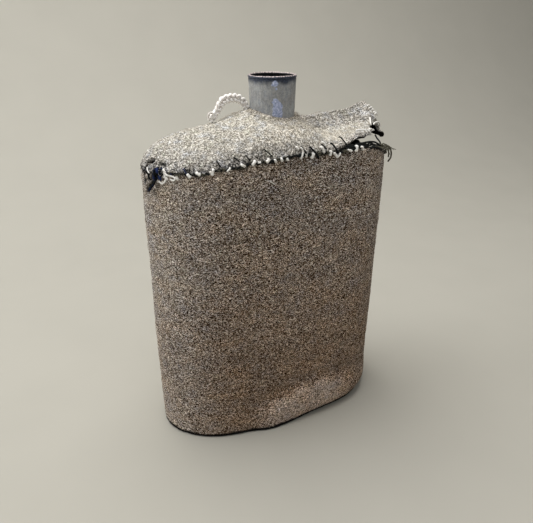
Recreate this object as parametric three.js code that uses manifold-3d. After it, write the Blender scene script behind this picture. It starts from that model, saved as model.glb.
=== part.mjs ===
// A kidney-section water bottle of enamelled sheet steel in a hand-stitched felt cover, with a plaited cord loop.
// Millimetres, +Z up. The origin is on the floor, under the middle of the neck. The convex front faces -Y,
// and the hollow back, which lies against the wearer's hip, faces +Y.

import * as THREE from 'three';
import { ParametricGeometry } from 'three/addons/geometries/ParametricGeometry.js';
import { mergeVertices } from 'three/addons/utils/BufferGeometryUtils.js';
import Module from 'manifold-3d';

// ---------------------------------------------------------------- driving dimensions

// The plan, over the felt: a stadium with stretched round ends, bent about an axis behind the bottle
const PLAN_LENGTH = 150;
const PLAN_DEPTH = 66.4;
const END_LENGTH = 42.8;
const HIP_RADIUS = 258;
const FOOT_LENGTH_RATIO = 0.997;
const FOOT_DEPTH_RATIO = 0.979;

// Heights above the floor
const SEAM_HEIGHT = 177.3;
const SEAM_TILT = 1.0;
const SEAM_DROP = 8.7;
const COLLAR_HEIGHT = 195;
const RIM_HEIGHT = 214.3;
const STEEL_JOIN_HEIGHT = 158;

// The neck, a steel tube that widens a little towards a rolled rim
const NECK_FOOT_RADIUS = 12.4;
const NECK_RIM_RADIUS = 12.8;
const NECK_FOOT_HEIGHT = 187;
const RIM_ROLL_RADIUS = 1.1;

// Sheet thicknesses, and the gap kept between neighbours
const FELT = 3;
const STEEL = 0.8;
const NECK_STEEL = 1.0;
const GAP = 0.4;

// The felt shoulder: how quickly it rolls over from the seam, and how the torn right corner stands up
const ROLL_DISTANCE = 6.7;
const ROLL_SHARE = 0.62;
const SLOPE_SHARE = 0.3;
const CORNER_LIFT = 9;
const CORNER_LIFT_FROM = 28;
const CORNER_LIFT_TO = 62;

// Threads and cord
const WHITE_THREAD = 0.55;
const DARK_THREAD = 0.4;
const STITCH_PITCH = 5;
const CORD_STRAND = 0.55;
const CORD_HALF_WIDTH = 1.6;
const CORD_HALF_DEPTH = 1.1;
const CORD_OUTER_FOOT = new THREE.Vector3(-33.6, 7, 193.4);
const CORD_NECK_FOOT = new THREE.Vector3(-15.4, 5, 196.8);
const CORD_RISE = 9.2;
const WHIPPING = 0.3;

// How finely curves are faceted
const ROUND_PLAN = 60;
const ROUND_NECK = 32;
const THREAD_SIDES = 5;

const INSIDE_FELT = FELT + GAP;
const INSIDE_STEEL = INSIDE_FELT + STEEL;
const END_SHARE = 0.36;
const BACK_MIDDLE = (END_SHARE + 0.5) / 2;
const RIGHT_END = END_SHARE / 2;
const LEFT_END = RIGHT_END + 0.5;

// ---------------------------------------------------------------- the plan

// A point of the plan, drawn in by inset. turn runs once round, counter-clockwise from above: the right end
// from front to back, the back, the left end from back to front, and the front.
function planPoint(turn, inset) {
  const wrapped = ((turn % 1) + 1) % 1;
  const side = wrapped < 0.5 ? 1 : -1;
  const local = wrapped % 0.5;
  const halfDepth = PLAN_DEPTH / 2 - inset;
  const reach = END_LENGTH - inset;
  const flat = PLAN_LENGTH / 2 - END_LENGTH;
  let along = flat * (1 - 2 * (local - END_SHARE) / (0.5 - END_SHARE));
  let back = halfDepth;
  if (local < END_SHARE) {
    const angle = Math.PI * (local / END_SHARE - 0.5);
    along = flat + reach * Math.cos(angle);
    back = halfDepth * Math.sin(angle);
  }
  const bend = side * along / HIP_RADIUS;
  const radius = HIP_RADIUS - side * back;
  return new THREE.Vector2(radius * Math.sin(bend), HIP_RADIUS - radius * Math.cos(bend));
}

// The same point at a height: the bottle narrows slightly towards the floor.
function wallPoint(turn, inset, z) {
  const plan = planPoint(turn, inset);
  const down = 1 - z / SEAM_HEIGHT;
  const length = 1 - (1 - FOOT_LENGTH_RATIO) * down;
  const depth = 1 - (1 - FOOT_DEPTH_RATIO) * down;
  return new THREE.Vector3(plan.x * length, plan.y * depth, z);
}

// The shoulder seam is highest at the middle and drops towards both ends.
function seamHeight(x) {
  const across = x / (PLAN_LENGTH / 2);
  return SEAM_HEIGHT + SEAM_TILT * across - SEAM_DROP * across * across;
}

function smoothStep(from, to, value) {
  return THREE.MathUtils.smoothstep(value, from, to);
}

// How far the felt's loose right corner stands above its place.
function cornerLift(x) {
  return CORNER_LIFT * smoothStep(CORNER_LIFT_FROM, CORNER_LIFT_TO, x);
}

// A point of the shoulder's curved top: inward is 0 at the seam and 1 at the neck. Each layer lies inset below the
// outside of the felt, and ends at holeRadius.
function shoulderPoint(turn, inward, inset, holeRadius) {
  const plan = planPoint(turn, inset);
  const edge = new THREE.Vector3(plan.x, plan.y, seamHeight(plan.x));
  const heading = Math.atan2(plan.y, plan.x);
  const hole = new THREE.Vector3(holeRadius * Math.cos(heading), holeRadius * Math.sin(heading), COLLAR_HEIGHT);
  const distance = Math.hypot(edge.x - hole.x, edge.y - hole.y);
  const rise = (share) => SLOPE_SHARE * share + ROLL_SHARE * (1 - Math.exp(-share * distance / ROLL_DISTANCE))
    + (1 - SLOPE_SHARE - ROLL_SHARE) * smoothStep(0.7, 1, share);
  const risen = rise(inward) / rise(1);
  const point = edge.clone().lerp(hole, inward);
  point.z = edge.z + (hole.z - edge.z) * risen - inset * Math.min(1, 2 * risen);
  return point;
}

// ---------------------------------------------------------------- solids

function mesh(name, geometry, look) {
  const material = new THREE.MeshStandardMaterial(look);
  const part = new THREE.Mesh(geometry, material);
  part.name = name;
  return part;
}

// A closed ring round the plan. section(turn) lists the corners of its cross-section, outside first, going up.
function ring(section) {
  const corners = section(0).length;
  return new ParametricGeometry((across, turn, target) => {
    target.copy(section(turn)[(corners - Math.round(across * corners)) % corners]);
  }, corners, ROUND_PLAN);
}

// A curved sheet round the neck, between the outside and the inside of one layer.
function shoulderSheet(outerInset, innerInset, holeRadius, lift, foot) {
  const shares = [0, 0.03, 0.08, 0.16, 0.3, 0.55, 0.8, 1];
  return ring((turn) => {
    const outside = shares.map((share) => shoulderPoint(turn, share, outerInset, holeRadius));
    const inside = shares.map((share) => shoulderPoint(turn, share, innerInset, holeRadius)).reverse();
    const corners = outside.concat(inside);
    for (const corner of corners) {
      corner.z += lift(corner.x);
    }
    if (foot !== null) {
      corners.unshift(wallPoint(turn, outerInset, foot));
      corners.push(wallPoint(turn, innerInset, foot));
    }
    return corners;
  });
}

// A flat plate with the plan's outline.
function plate(inset, low, high, bevel) {
  const outline = [];
  for (let i = 0; i < ROUND_PLAN; i += 1) {
    const point = wallPoint(i / ROUND_PLAN, inset + bevel, low);
    outline.push(new THREE.Vector2(point.x, point.y));
  }
  const options = {
    depth: high - low - 2 * bevel,
    bevelEnabled: bevel > 0,
    bevelThickness: bevel,
    bevelSize: bevel,
    bevelSegments: 1,
  };
  const geometry = new THREE.ExtrudeGeometry(new THREE.Shape(outline), options);
  geometry.translate(0, 0, low + bevel);
  return geometry;
}

// A tube along a smooth curve through the points, for threads and cord.
function tube(points, radius, stepsPerPoint, sides) {
  const section = [];
  for (let i = 0; i < sides; i += 1) {
    const angle = 2 * Math.PI * i / sides;
    section.push(new THREE.Vector2(radius * Math.cos(angle), radius * Math.sin(angle)));
  }
  return new THREE.ExtrudeGeometry(new THREE.Shape(section), {
    steps: stepsPerPoint * (points.length - 1),
    extrudePath: new THREE.CatmullRomCurve3(points),
    bevelEnabled: false,
  });
}

const wasm = await Module();
wasm.setup();

function toManifold(geometry) {
  const bare = geometry.clone();
  bare.deleteAttribute('normal');
  bare.deleteAttribute('uv');
  const merged = mergeVertices(bare, 0.001);
  const vertProperties = new Float32Array(merged.attributes.position.array);
  const triVerts = new Uint32Array(merged.index.array);
  return new wasm.Manifold(new wasm.Mesh({ numProp: 3, vertProperties, triVerts }));
}

function cut(body, tool) {
  const result = toManifold(body).subtract(toManifold(tool)).getMesh();
  const geometry = new THREE.BufferGeometry();
  geometry.setAttribute('position', new THREE.BufferAttribute(result.vertProperties, 3));
  geometry.setIndex(new THREE.BufferAttribute(result.triVerts, 1));
  geometry.computeVertexNormals();
  return geometry;
}

// ---------------------------------------------------------------- looks

const ENAMELLED_STEEL = { color: 0x6f7173, roughness: 0.55, metalness: 0.3 };
const WALL_FELT = { color: 0x5f5044, roughness: 0.95, metalness: 0 };
const TOP_FELT = { color: 0x9a8f7c, roughness: 0.95, metalness: 0 };
const WHITE_COTTON = { color: 0xd9d2c4, roughness: 0.9, metalness: 0 };
const DARK_COTTON = { color: 0x1d2028, roughness: 0.9, metalness: 0 };
const CORD_COTTON = { color: 0xe6dfd2, roughness: 0.9, metalness: 0 };

// ---------------------------------------------------------------- the steel bottle

const SHELL_FLOOR = INSIDE_FELT;

// The wall is one bent sheet, a plain ring.
function flaskWall() {
  const foot = SHELL_FLOOR;
  const head = STEEL_JOIN_HEIGHT - GAP;
  return ring((turn) => [
    wallPoint(turn, INSIDE_FELT, foot),
    wallPoint(turn, INSIDE_FELT, head),
    wallPoint(turn, INSIDE_STEEL, head),
    wallPoint(turn, INSIDE_STEEL, foot),
  ]);
}

// The base is a shallow pan whose upturned flange lies inside the wall.
function flaskBasePan() {
  const flangeHeight = 6;
  const outside = plate(INSIDE_STEEL + GAP, SHELL_FLOOR, SHELL_FLOOR + flangeHeight, 0);
  const inside = plate(INSIDE_STEEL + GAP + STEEL, SHELL_FLOOR + STEEL, SHELL_FLOOR + 2 * flangeHeight, 0);
  return cut(outside, inside);
}

function flaskShoulder() {
  const noLift = () => 0;
  return shoulderSheet(INSIDE_FELT, INSIDE_STEEL, NECK_FOOT_RADIUS + GAP, noLift, STEEL_JOIN_HEIGHT);
}

// The neck's profile goes up the outside, round the rolled rim and down the bore.
function neckTube() {
  const rollCentre = RIM_HEIGHT - RIM_ROLL_RADIUS;
  const rimOutside = NECK_RIM_RADIUS - 0.1;
  const rollSteps = 8;
  const profile = [new THREE.Vector2(NECK_FOOT_RADIUS, NECK_FOOT_HEIGHT)];
  profile.push(new THREE.Vector2(rimOutside, rollCentre - RIM_ROLL_RADIUS));
  for (let i = 1; i < rollSteps; i += 1) {
    const angle = Math.PI * (i / rollSteps - 0.5);
    const out = rimOutside - 0.5 + RIM_ROLL_RADIUS * Math.cos(angle);
    profile.push(new THREE.Vector2(Math.max(out, rimOutside), rollCentre + RIM_ROLL_RADIUS * Math.sin(angle)));
  }
  profile.push(new THREE.Vector2(rimOutside - 0.5, RIM_HEIGHT));
  profile.push(new THREE.Vector2(NECK_RIM_RADIUS - NECK_STEEL, rollCentre));
  profile.push(new THREE.Vector2(NECK_FOOT_RADIUS - NECK_STEEL, NECK_FOOT_HEIGHT));
  profile.push(profile[0].clone());
  const geometry = new THREE.LatheGeometry(profile, ROUND_NECK);
  geometry.rotateX(Math.PI / 2);
  return geometry;
}

// ---------------------------------------------------------------- the felt cover

// One strip of felt wraps the wall and meets itself at the middle of the back. Its top edge follows the seam.
function coverWallPanel() {
  const halfSplit = 0.0008;
  const outline = [];
  for (const inset of [0, FELT]) {
    const side = [];
    for (let i = 0; i <= ROUND_PLAN; i += 1) {
      const turn = BACK_MIDDLE + THREE.MathUtils.lerp(halfSplit, 1 - halfSplit, i / ROUND_PLAN);
      side.push(planPoint(turn, inset));
    }
    outline.push(...(inset === 0 ? side : side.reverse()));
  }
  const geometry = new THREE.ExtrudeGeometry(new THREE.Shape(outline), { depth: 1, bevelEnabled: false });
  const corners = geometry.attributes.position;
  for (let i = 0; i < corners.count; i += 1) {
    const top = corners.getZ(i) > 0.5;
    const taperLength = top ? 1 : FOOT_LENGTH_RATIO;
    const taperDepth = top ? 1 : FOOT_DEPTH_RATIO;
    const height = top ? seamHeight(corners.getX(i)) : 0;
    corners.setXYZ(i, corners.getX(i) * taperLength, corners.getY(i) * taperDepth, height);
  }
  return geometry;
}

// The top panel has a hole for the neck, and its right corner has come unstitched and stands up.
function coverTopPanel() {
  const aboveSeam = (x) => GAP + cornerLift(x);
  return shoulderSheet(0, FELT, NECK_FOOT_RADIUS + 2 * GAP, aboveSeam, null);
}

// The base panel lies inside the wall's lower edge. Its bevelled rim leaves a channel for the seam.
function coverBasePanel() {
  const bevel = 1.3;
  return plate(FELT + GAP, 0, FELT, bevel);
}

// ---------------------------------------------------------------- seam threads

// Whip stitches from one turn to another as one thread: each goes from below the seam to above it, leaning forward.
function whipStitches(fromTurn, toTurn, pitch, below, above, standOff, radius) {
  const length = Math.abs(toTurn - fromTurn) * 2.9 * PLAN_LENGTH;
  const count = Math.round(length / pitch);
  const points = [];
  for (let i = 0; i <= count; i += 1) {
    const turnLow = THREE.MathUtils.lerp(fromTurn, toTurn, i / count);
    const turnHigh = THREE.MathUtils.lerp(fromTurn, toTurn, (i + 0.5) / count);
    const low = wallPoint(turnLow, -standOff, SEAM_HEIGHT);
    const high = wallPoint(turnHigh, -standOff, SEAM_HEIGHT);
    low.z = seamHeight(low.x) - below;
    high.z = seamHeight(high.x) + above;
    points.push(low, high);
  }
  return tube(points, radius, 2, THREAD_SIDES);
}

function frontWhiteThread() {
  const from = LEFT_END + 0.09;
  const to = 1 + RIGHT_END - 0.1;
  return whipStitches(from, to, STITCH_PITCH, 2.6, 1, WHITE_THREAD + GAP, WHITE_THREAD);
}

function frontDarkThread() {
  const from = LEFT_END + 0.1;
  const to = 1 + RIGHT_END - 0.13;
  const standOff = 2 * WHITE_THREAD + DARK_THREAD + 2 * GAP;
  return whipStitches(from, to, 2 * STITCH_PITCH, 0.6, 3.4, standOff, DARK_THREAD);
}

function backShoulderThread() {
  const from = RIGHT_END + 0.06;
  const to = LEFT_END - 0.06;
  return whipStitches(from, to, 1.4 * STITCH_PITCH, 2.4, 1, WHITE_THREAD + GAP, WHITE_THREAD);
}

// The upright seam where the wall panel meets itself, whip-stitched from the foot to the shoulder.
function backSeamThread() {
  const halfWidth = 2.2;
  const foot = 6;
  const head = SEAM_HEIGHT - 7;
  const count = Math.round((head - foot) / (1.6 * STITCH_PITCH));
  const points = [];
  for (let i = 0; i <= count; i += 1) {
    for (const side of [-1, 1]) {
      const z = THREE.MathUtils.lerp(foot, head, (i + (side > 0 ? 0.4 : 0)) / (count + 0.4));
      const point = wallPoint(BACK_MIDDLE, -(WHITE_THREAD + GAP), z);
      points.push(new THREE.Vector3(side * halfWidth, point.y, z));
    }
  }
  return tube(points, WHITE_THREAD, 2, THREAD_SIDES);
}

// A thread in the channel between the base panel's bevel and the wall panel.
function baseSeamThread() {
  const radius = 0.25;
  const points = [];
  for (let i = 0; i < ROUND_PLAN; i += 1) {
    points.push(wallPoint(i / ROUND_PLAN, FELT + GAP + radius, GAP));
  }
  return tube(points, radius, 1, 4);
}

// ---------------------------------------------------------------- repairs at the two corners

// Dark darning across the worn left corner: close upright passes over the wall panel's edge.
function leftCornerDarn() {
  const passes = 9;
  const low = seamHeight(-PLAN_LENGTH / 2) - 9;
  const high = seamHeight(-PLAN_LENGTH / 2) + 3;
  const points = [];
  for (let i = 0; i <= passes; i += 1) {
    const turn = LEFT_END + 0.015 + 0.055 * i / passes;
    const standOff = DARK_THREAD + GAP;
    points.push(wallPoint(turn, -standOff, i % 2 ? high : low));
    points.push(wallPoint(turn + 0.001, -standOff - 0.5, (low + high) / 2));
  }
  return tube(points, DARK_THREAD, 2, THREAD_SIDES);
}

// A few white loops beside the darn.
function leftCornerWhiteThread() {
  const points = [];
  const loops = 5;
  const low = seamHeight(-PLAN_LENGTH / 2) - 6;
  for (let i = 0; i <= 4 * loops; i += 1) {
    const angle = Math.PI * i / 2;
    const turn = LEFT_END + 0.02 + 0.05 * i / (4 * loops);
    const standOff = 2 * DARK_THREAD + WHITE_THREAD + 3 * GAP + 0.5 * Math.sin(angle);
    points.push(wallPoint(turn, -standOff, low + 2.5 * Math.cos(angle)));
  }
  return tube(points, 0.8 * WHITE_THREAD, 2, THREAD_SIDES);
}

// A point just outside the lifted edge of the top panel.
function flapEdge(turn, standOff, above) {
  const point = wallPoint(turn, -standOff, SEAM_HEIGHT);
  point.z = seamHeight(point.x) + GAP + cornerLift(point.x) + above;
  return point;
}

// White overcast stitches along the loose flap's edge.
function rightFlapThread() {
  const stitches = 14;
  const points = [];
  for (let i = 0; i <= stitches; i += 1) {
    const turn = RIGHT_END + THREE.MathUtils.lerp(-0.1, 0.06, i / stitches);
    points.push(flapEdge(turn, WHITE_THREAD + GAP, i % 2 ? 0.8 : 3));
  }
  return tube(points, 0.8 * WHITE_THREAD, 2, THREAD_SIDES);
}

// Frayed yarn that curls off the wall panel's top edge at the right corner.
function rightCornerLooseThread() {
  const root = wallPoint(RIGHT_END - 0.03, -(DARK_THREAD + GAP), 168);
  const curl = 5;
  const points = [];
  for (let i = 0; i <= 8; i += 1) {
    const angle = Math.PI * (0.75 - i / 7);
    points.push(new THREE.Vector3(
      root.x + curl * 0.7 + curl * Math.cos(angle),
      root.y - 1.5,
      root.z - curl * 0.7 + curl * Math.sin(angle),
    ));
  }
  return tube(points, DARK_THREAD, 1, THREAD_SIDES);
}

// A broken dark stitch that still stands between the wall panel and the flap.
function rightCornerUprightThread() {
  const low = wallPoint(RIGHT_END - 0.05, -(DARK_THREAD + GAP), 167);
  const high = wallPoint(RIGHT_END - 0.07, -(DARK_THREAD + GAP) - 1.5, 178);
  const middle = low.clone().lerp(high, 0.5);
  middle.x += 1;
  return tube([low, middle, high], DARK_THREAD, 3, THREAD_SIDES);
}

// ---------------------------------------------------------------- the cord loop

// The cord's centre line rises steeply from the outer foot, runs level, and comes down beside the neck.
const CORD_LINE = new THREE.CatmullRomCurve3([
  CORD_OUTER_FOOT,
  CORD_OUTER_FOOT.clone().lerp(CORD_NECK_FOOT, 0.14).add(new THREE.Vector3(0, 0, 0.62 * CORD_RISE)),
  CORD_OUTER_FOOT.clone().lerp(CORD_NECK_FOOT, 0.42).add(new THREE.Vector3(0, 0, CORD_RISE)),
  CORD_OUTER_FOOT.clone().lerp(CORD_NECK_FOOT, 0.76).add(new THREE.Vector3(0, 0, 0.75 * CORD_RISE)),
  CORD_NECK_FOOT,
]);

// One strand of a flat three-strand plait along the centre line.
function cordStrand(which) {
  const steps = 60;
  const crossings = 4;
  const away = new THREE.Vector3().subVectors(CORD_NECK_FOOT, CORD_OUTER_FOOT)
    .cross(new THREE.Vector3(0, 0, 1)).normalize();
  const points = [];
  for (let i = 0; i <= steps; i += 1) {
    const centre = CORD_LINE.getPointAt(i / steps);
    const tangent = CORD_LINE.getTangentAt(i / steps);
    const outward = new THREE.Vector3().crossVectors(tangent, away).normalize();
    const phase = 2 * Math.PI * (crossings * i / steps + which / 3);
    centre.addScaledVector(outward, CORD_HALF_WIDTH * Math.sin(phase));
    centre.addScaledVector(away, CORD_HALF_DEPTH * Math.sin(2 * phase));
    points.push(centre);
  }
  return tube(points, CORD_STRAND, 1, 6);
}

// The outer end is doubled back into a small eye, beside the cord's foot.
function cordEye() {
  const centre = CORD_OUTER_FOOT.clone().add(new THREE.Vector3(-6, -0.5, 0));
  const radius = 1.8;
  const points = [];
  for (let i = 0; i <= 10; i += 1) {
    const angle = 2 * Math.PI * (i / 10) * 0.9;
    points.push(new THREE.Vector3(
      centre.x + radius * Math.cos(angle),
      centre.y,
      centre.z + radius * Math.sin(angle),
    ));
  }
  return tube(points, CORD_STRAND, 1, 6);
}

// Turns of thread that bind the strands together near one foot of the cord.
function cordWhipping(share) {
  const turns = 2;
  const radius = CORD_HALF_WIDTH + CORD_STRAND + WHIPPING + GAP;
  const centre = CORD_LINE.getPointAt(share);
  const tangent = CORD_LINE.getTangentAt(share);
  const sideways = new THREE.Vector3().crossVectors(tangent, new THREE.Vector3(0, 1, 0)).normalize();
  const forward = new THREE.Vector3().crossVectors(tangent, sideways).normalize();
  const points = [];
  for (let i = 0; i <= 10 * turns; i += 1) {
    const angle = 2 * Math.PI * i / 10;
    const point = centre.clone();
    point.addScaledVector(sideways, radius * Math.cos(angle));
    point.addScaledVector(forward, radius * Math.sin(angle));
    point.addScaledVector(tangent, 3 * WHIPPING * (i / 10 - turns / 2));
    points.push(point);
  }
  return tube(points, WHIPPING, 1, THREAD_SIDES);
}

// ---------------------------------------------------------------- assembly

const bottle = new THREE.Group();

bottle.add(mesh('flask_wall', flaskWall(), ENAMELLED_STEEL));
bottle.add(mesh('flask_base_pan', flaskBasePan(), ENAMELLED_STEEL));
bottle.add(mesh('flask_shoulder', flaskShoulder(), ENAMELLED_STEEL));
bottle.add(mesh('neck_tube', neckTube(), ENAMELLED_STEEL));

bottle.add(mesh('cover_wall_panel', coverWallPanel(), WALL_FELT));
bottle.add(mesh('cover_top_panel', coverTopPanel(), TOP_FELT));
bottle.add(mesh('cover_base_panel', coverBasePanel(), WALL_FELT));

bottle.add(mesh('front_seam_white_thread', frontWhiteThread(), WHITE_COTTON));
bottle.add(mesh('front_seam_dark_thread', frontDarkThread(), DARK_COTTON));
bottle.add(mesh('back_shoulder_thread', backShoulderThread(), WHITE_COTTON));
bottle.add(mesh('back_seam_thread', backSeamThread(), WHITE_COTTON));
bottle.add(mesh('base_seam_thread', baseSeamThread(), WHITE_COTTON));

bottle.add(mesh('left_corner_darn', leftCornerDarn(), DARK_COTTON));
bottle.add(mesh('left_corner_white_thread', leftCornerWhiteThread(), WHITE_COTTON));
bottle.add(mesh('right_flap_thread', rightFlapThread(), WHITE_COTTON));
bottle.add(mesh('right_corner_loose_thread', rightCornerLooseThread(), DARK_COTTON));
bottle.add(mesh('right_corner_upright_thread', rightCornerUprightThread(), DARK_COTTON));

bottle.add(mesh('cord_strand_a', cordStrand(0), CORD_COTTON));
bottle.add(mesh('cord_strand_b', cordStrand(1), CORD_COTTON));
bottle.add(mesh('cord_strand_c', cordStrand(2), CORD_COTTON));
bottle.add(mesh('cord_eye', cordEye(), CORD_COTTON));
bottle.add(mesh('cord_outer_whipping', cordWhipping(0.07), WHITE_COTTON));
bottle.add(mesh('cord_neck_whipping', cordWhipping(0.92), WHITE_COTTON));

export default bottle;
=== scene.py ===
"""The looks of a felt-covered steel water bottle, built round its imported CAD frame.

Shapes are worked out in millimetres, in the CAD's own frame: +Z up, the convex front towards -Y and the
neck's axis on Z. They become metres only where a mesh is made.
"""

import math

import bpy
import numpy as np
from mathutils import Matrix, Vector


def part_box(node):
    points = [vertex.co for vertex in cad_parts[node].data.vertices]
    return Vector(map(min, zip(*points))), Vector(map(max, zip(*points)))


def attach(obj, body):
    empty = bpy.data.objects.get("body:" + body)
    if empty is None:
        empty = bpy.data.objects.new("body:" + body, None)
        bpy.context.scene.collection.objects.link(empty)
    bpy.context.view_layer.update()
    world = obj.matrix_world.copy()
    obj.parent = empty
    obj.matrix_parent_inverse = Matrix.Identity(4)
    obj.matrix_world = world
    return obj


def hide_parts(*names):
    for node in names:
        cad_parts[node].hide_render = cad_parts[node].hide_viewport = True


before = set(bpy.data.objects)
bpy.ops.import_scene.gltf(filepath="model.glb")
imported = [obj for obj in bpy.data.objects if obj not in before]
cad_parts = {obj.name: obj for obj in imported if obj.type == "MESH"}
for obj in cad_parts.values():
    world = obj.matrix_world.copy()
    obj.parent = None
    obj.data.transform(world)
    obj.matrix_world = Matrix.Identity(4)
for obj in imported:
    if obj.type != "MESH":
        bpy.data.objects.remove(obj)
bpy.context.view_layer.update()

MM = 0.001


def box_mm(node):
    """The lowest and highest corners of a CAD node, in millimetres."""
    low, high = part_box(node)
    return np.array(low) / MM, np.array(high) / MM


# ---------------------------------------------------------------- dimensions, in millimetres

WALL_LOW, WALL_HIGH = box_mm("cover_wall_panel")
NECK_LOW, NECK_HIGH = box_mm("neck_tube")

# The plan is a stadium with stretched round ends, bent about an axis behind the bottle
PLAN_LENGTH = 150.0
PLAN_DEPTH = 66.4
END_LENGTH = 42.8
HIP_RADIUS = 258.0
FOOT_LENGTH_RATIO = 0.997
FOOT_DEPTH_RATIO = 0.979

SEAM_HEIGHT = WALL_HIGH[2]
SEAM_TILT = 1.0
SEAM_DROP = 8.7

NECK_CENTRE = (NECK_LOW[:2] + NECK_HIGH[:2]) / 2
RIM_HEIGHT = NECK_HIGH[2]
RIM_RADIUS = (NECK_HIGH[0] - NECK_LOW[0]) / 2
COLLAR_RADIUS = 12.4

FELT = 2.8
GRAIN_STEP = 0.7
SEED = 7


# ---------------------------------------------------------------- arithmetic helpers

def smooth(low, high, value):
    """0 below low, 1 above high, and a smooth rise between them."""
    share = np.clip((np.asarray(value, float) - low) / (high - low), 0.0, 1.0)
    return share * share * (3.0 - 2.0 * share)


def hump(value, centre, width):
    """A smooth bump of height 1."""
    return np.exp(-(((np.asarray(value, float) - centre) / width) ** 2))


def noise(points, size, seed):
    """Smooth noise between -1 and 1, with features about size millimetres across."""
    scaled = np.asarray(points, float) / size + 13.7 * seed
    cell = np.floor(scaled)
    part = scaled - cell
    part = part * part * (3.0 - 2.0 * part)
    cell = cell.astype(np.int64)
    total = np.zeros(scaled.shape[:-1])
    for corner in range(8):
        step = np.array([corner & 1, corner >> 1 & 1, corner >> 2 & 1])
        mixed = (cell + step) @ np.array([73856093, 19349663, 83492791])
        mixed = (mixed ^ (mixed >> 13)) * 1274126177 & 0x7FFFFFFF
        mixed = (mixed ^ (mixed >> 16)) & 0xFFFFF
        weight = np.prod(np.where(step == 1, part, 1.0 - part), axis=-1)
        total += weight * (mixed / 0x7FFFF - 1.0)
    return total


def felt_relief(points, seed):
    """How far the felt's surface stands out at each point: matted curls, then lumps, then slow waves."""
    return (
        0.17 * noise(points, 1.5, seed)
        + 0.12 * noise(points, 2.6, seed + 1)
        + 0.16 * noise(points, 8.0, seed + 2)
        + 0.35 * noise(points, 34.0, seed + 3)
    )


def curve_through(points, count):
    """count points evenly spaced along a Catmull-Rom curve through the given points."""
    p = np.asarray(points, float)
    p = np.vstack([2 * p[0] - p[1], p, 2 * p[-1] - p[-2]])
    dense = []
    for i in range(1, len(p) - 2):
        t = np.linspace(0, 1, 24, endpoint=False)[:, None]
        a, b, c, d = p[i - 1], p[i], p[i + 1], p[i + 2]
        dense.append(
            0.5 * (2 * b + (c - a) * t + (2 * a - 5 * b + 4 * c - d) * t**2 + (3 * b - a - 3 * c + d) * t**3)
        )
    dense = np.vstack(dense + [p[-2:-1]])
    return resample(dense, count)


def resample(line, count):
    """count points evenly spaced along a polyline."""
    steps = np.linalg.norm(np.diff(line, axis=0), axis=1)
    along = np.concatenate([[0.0], np.cumsum(steps)])
    wanted = np.linspace(0, along[-1], count)
    return np.column_stack([np.interp(wanted, along, line[:, k]) for k in range(line.shape[1])])


def unit(vectors):
    """The vectors, each scaled to length 1."""
    return vectors / np.maximum(np.linalg.norm(vectors, axis=-1, keepdims=True), 1e-12)


def compass(angles):
    """Unit vectors in the plan, at angles in radians from +X."""
    return np.column_stack([np.cos(angles), np.sin(angles)])


# ---------------------------------------------------------------- meshes

def link_object(name, data):
    """A new object in the scene."""
    thing = bpy.data.objects.new(name, data)
    bpy.context.scene.collection.objects.link(thing)
    return thing


def smooth_mesh(name, points, faces, material):
    """Smooth-shaded mesh data from points in metres."""
    data = bpy.data.meshes.new(name)
    data.from_pydata(points, [], faces)
    data.polygons.foreach_set("use_smooth", np.ones(len(data.polygons), bool))
    data.materials.append(material)
    return data


def make_mesh(name, points, faces, material, body, stands_for=(), attributes=None):
    """A smooth-shaded piece from points in millimetres, riding on a CAD body."""
    data = smooth_mesh(name, (np.asarray(points) * MM).tolist(), faces, material)
    for key, values in (attributes or {}).items():
        layer = data.attributes.new(key, "FLOAT", "POINT")
        layer.data.foreach_set("value", np.asarray(values, np.float32))
    data.update()
    piece = link_object(name, data)
    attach(piece, body)
    if stands_for:
        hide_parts(*stands_for)
    return piece


def ring_faces(columns, corners):
    """Faces of a closed ring of columns, each column a closed loop of corners."""
    i, j = np.meshgrid(np.arange(columns), np.arange(corners), indexing="ij")
    i2, j2 = (i + 1) % columns, (j + 1) % corners
    faces = np.stack([i * corners + j, i2 * corners + j, i2 * corners + j2, i * corners + j2], axis=-1)
    return faces.reshape(-1, 4).tolist()


def sheet_normals(grid):
    """Unit normals of a grid of points whose columns wrap round, pointing out of an anticlockwise sheet."""
    across = np.roll(grid, -1, axis=0) - np.roll(grid, 1, axis=0)
    up = np.gradient(grid, axis=1)
    return unit(np.cross(across, up))


def tube(line, radius, sides=10, plies=0, twist=1.0, groove=0.16, round_ends=True):
    """Points and faces of a closed tube along a line, its surface laid up from twisted plies."""
    line = np.asarray(line, float)
    count = len(line)
    tangents = unit(np.gradient(line, axis=0))
    normal = unit(np.cross(tangents[0], [0.31, 0.52, 0.79]))
    along = np.concatenate([[0.0], np.cumsum(np.linalg.norm(np.diff(line, axis=0), axis=1))])
    rings = []
    angles = np.linspace(0, 2 * math.pi, sides, endpoint=False)
    for k in range(count):
        normal = unit(normal - tangents[k] * (normal @ tangents[k]))
        side = np.cross(tangents[k], normal)
        width = radius * np.ones(sides)
        if plies:
            lay = np.abs(np.cos(plies / 2 * (angles - along[k] * twist))) ** 0.7
            width = width * (1.0 - groove + groove * lay)
        if round_ends:
            ends = min(along[k], along[-1] - along[k]) / radius
            width = width * math.sqrt(max(0.06, 1 - max(0.0, 1 - ends) ** 2))
        ring = line[k] + (np.cos(angles) * width)[:, None] * normal + (np.sin(angles) * width)[:, None] * side
        rings.append(ring)
    points = np.vstack(rings)
    faces = []
    for k in range(count - 1):
        for m in range(sides):
            n = (m + 1) % sides
            faces.append([k * sides + m, k * sides + n, (k + 1) * sides + n, (k + 1) * sides + m])
    faces.append(list(range(sides))[::-1])
    faces.append([(count - 1) * sides + m for m in range(sides)])
    return points, faces


def join(parts):
    """Several (points, faces) as one."""
    points, faces, start = [], [], 0
    for some_points, some_faces in parts:
        points.append(some_points)
        faces.extend([[v + start for v in face] for face in some_faces])
        start += len(some_points)
    return np.vstack(points), faces


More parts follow.
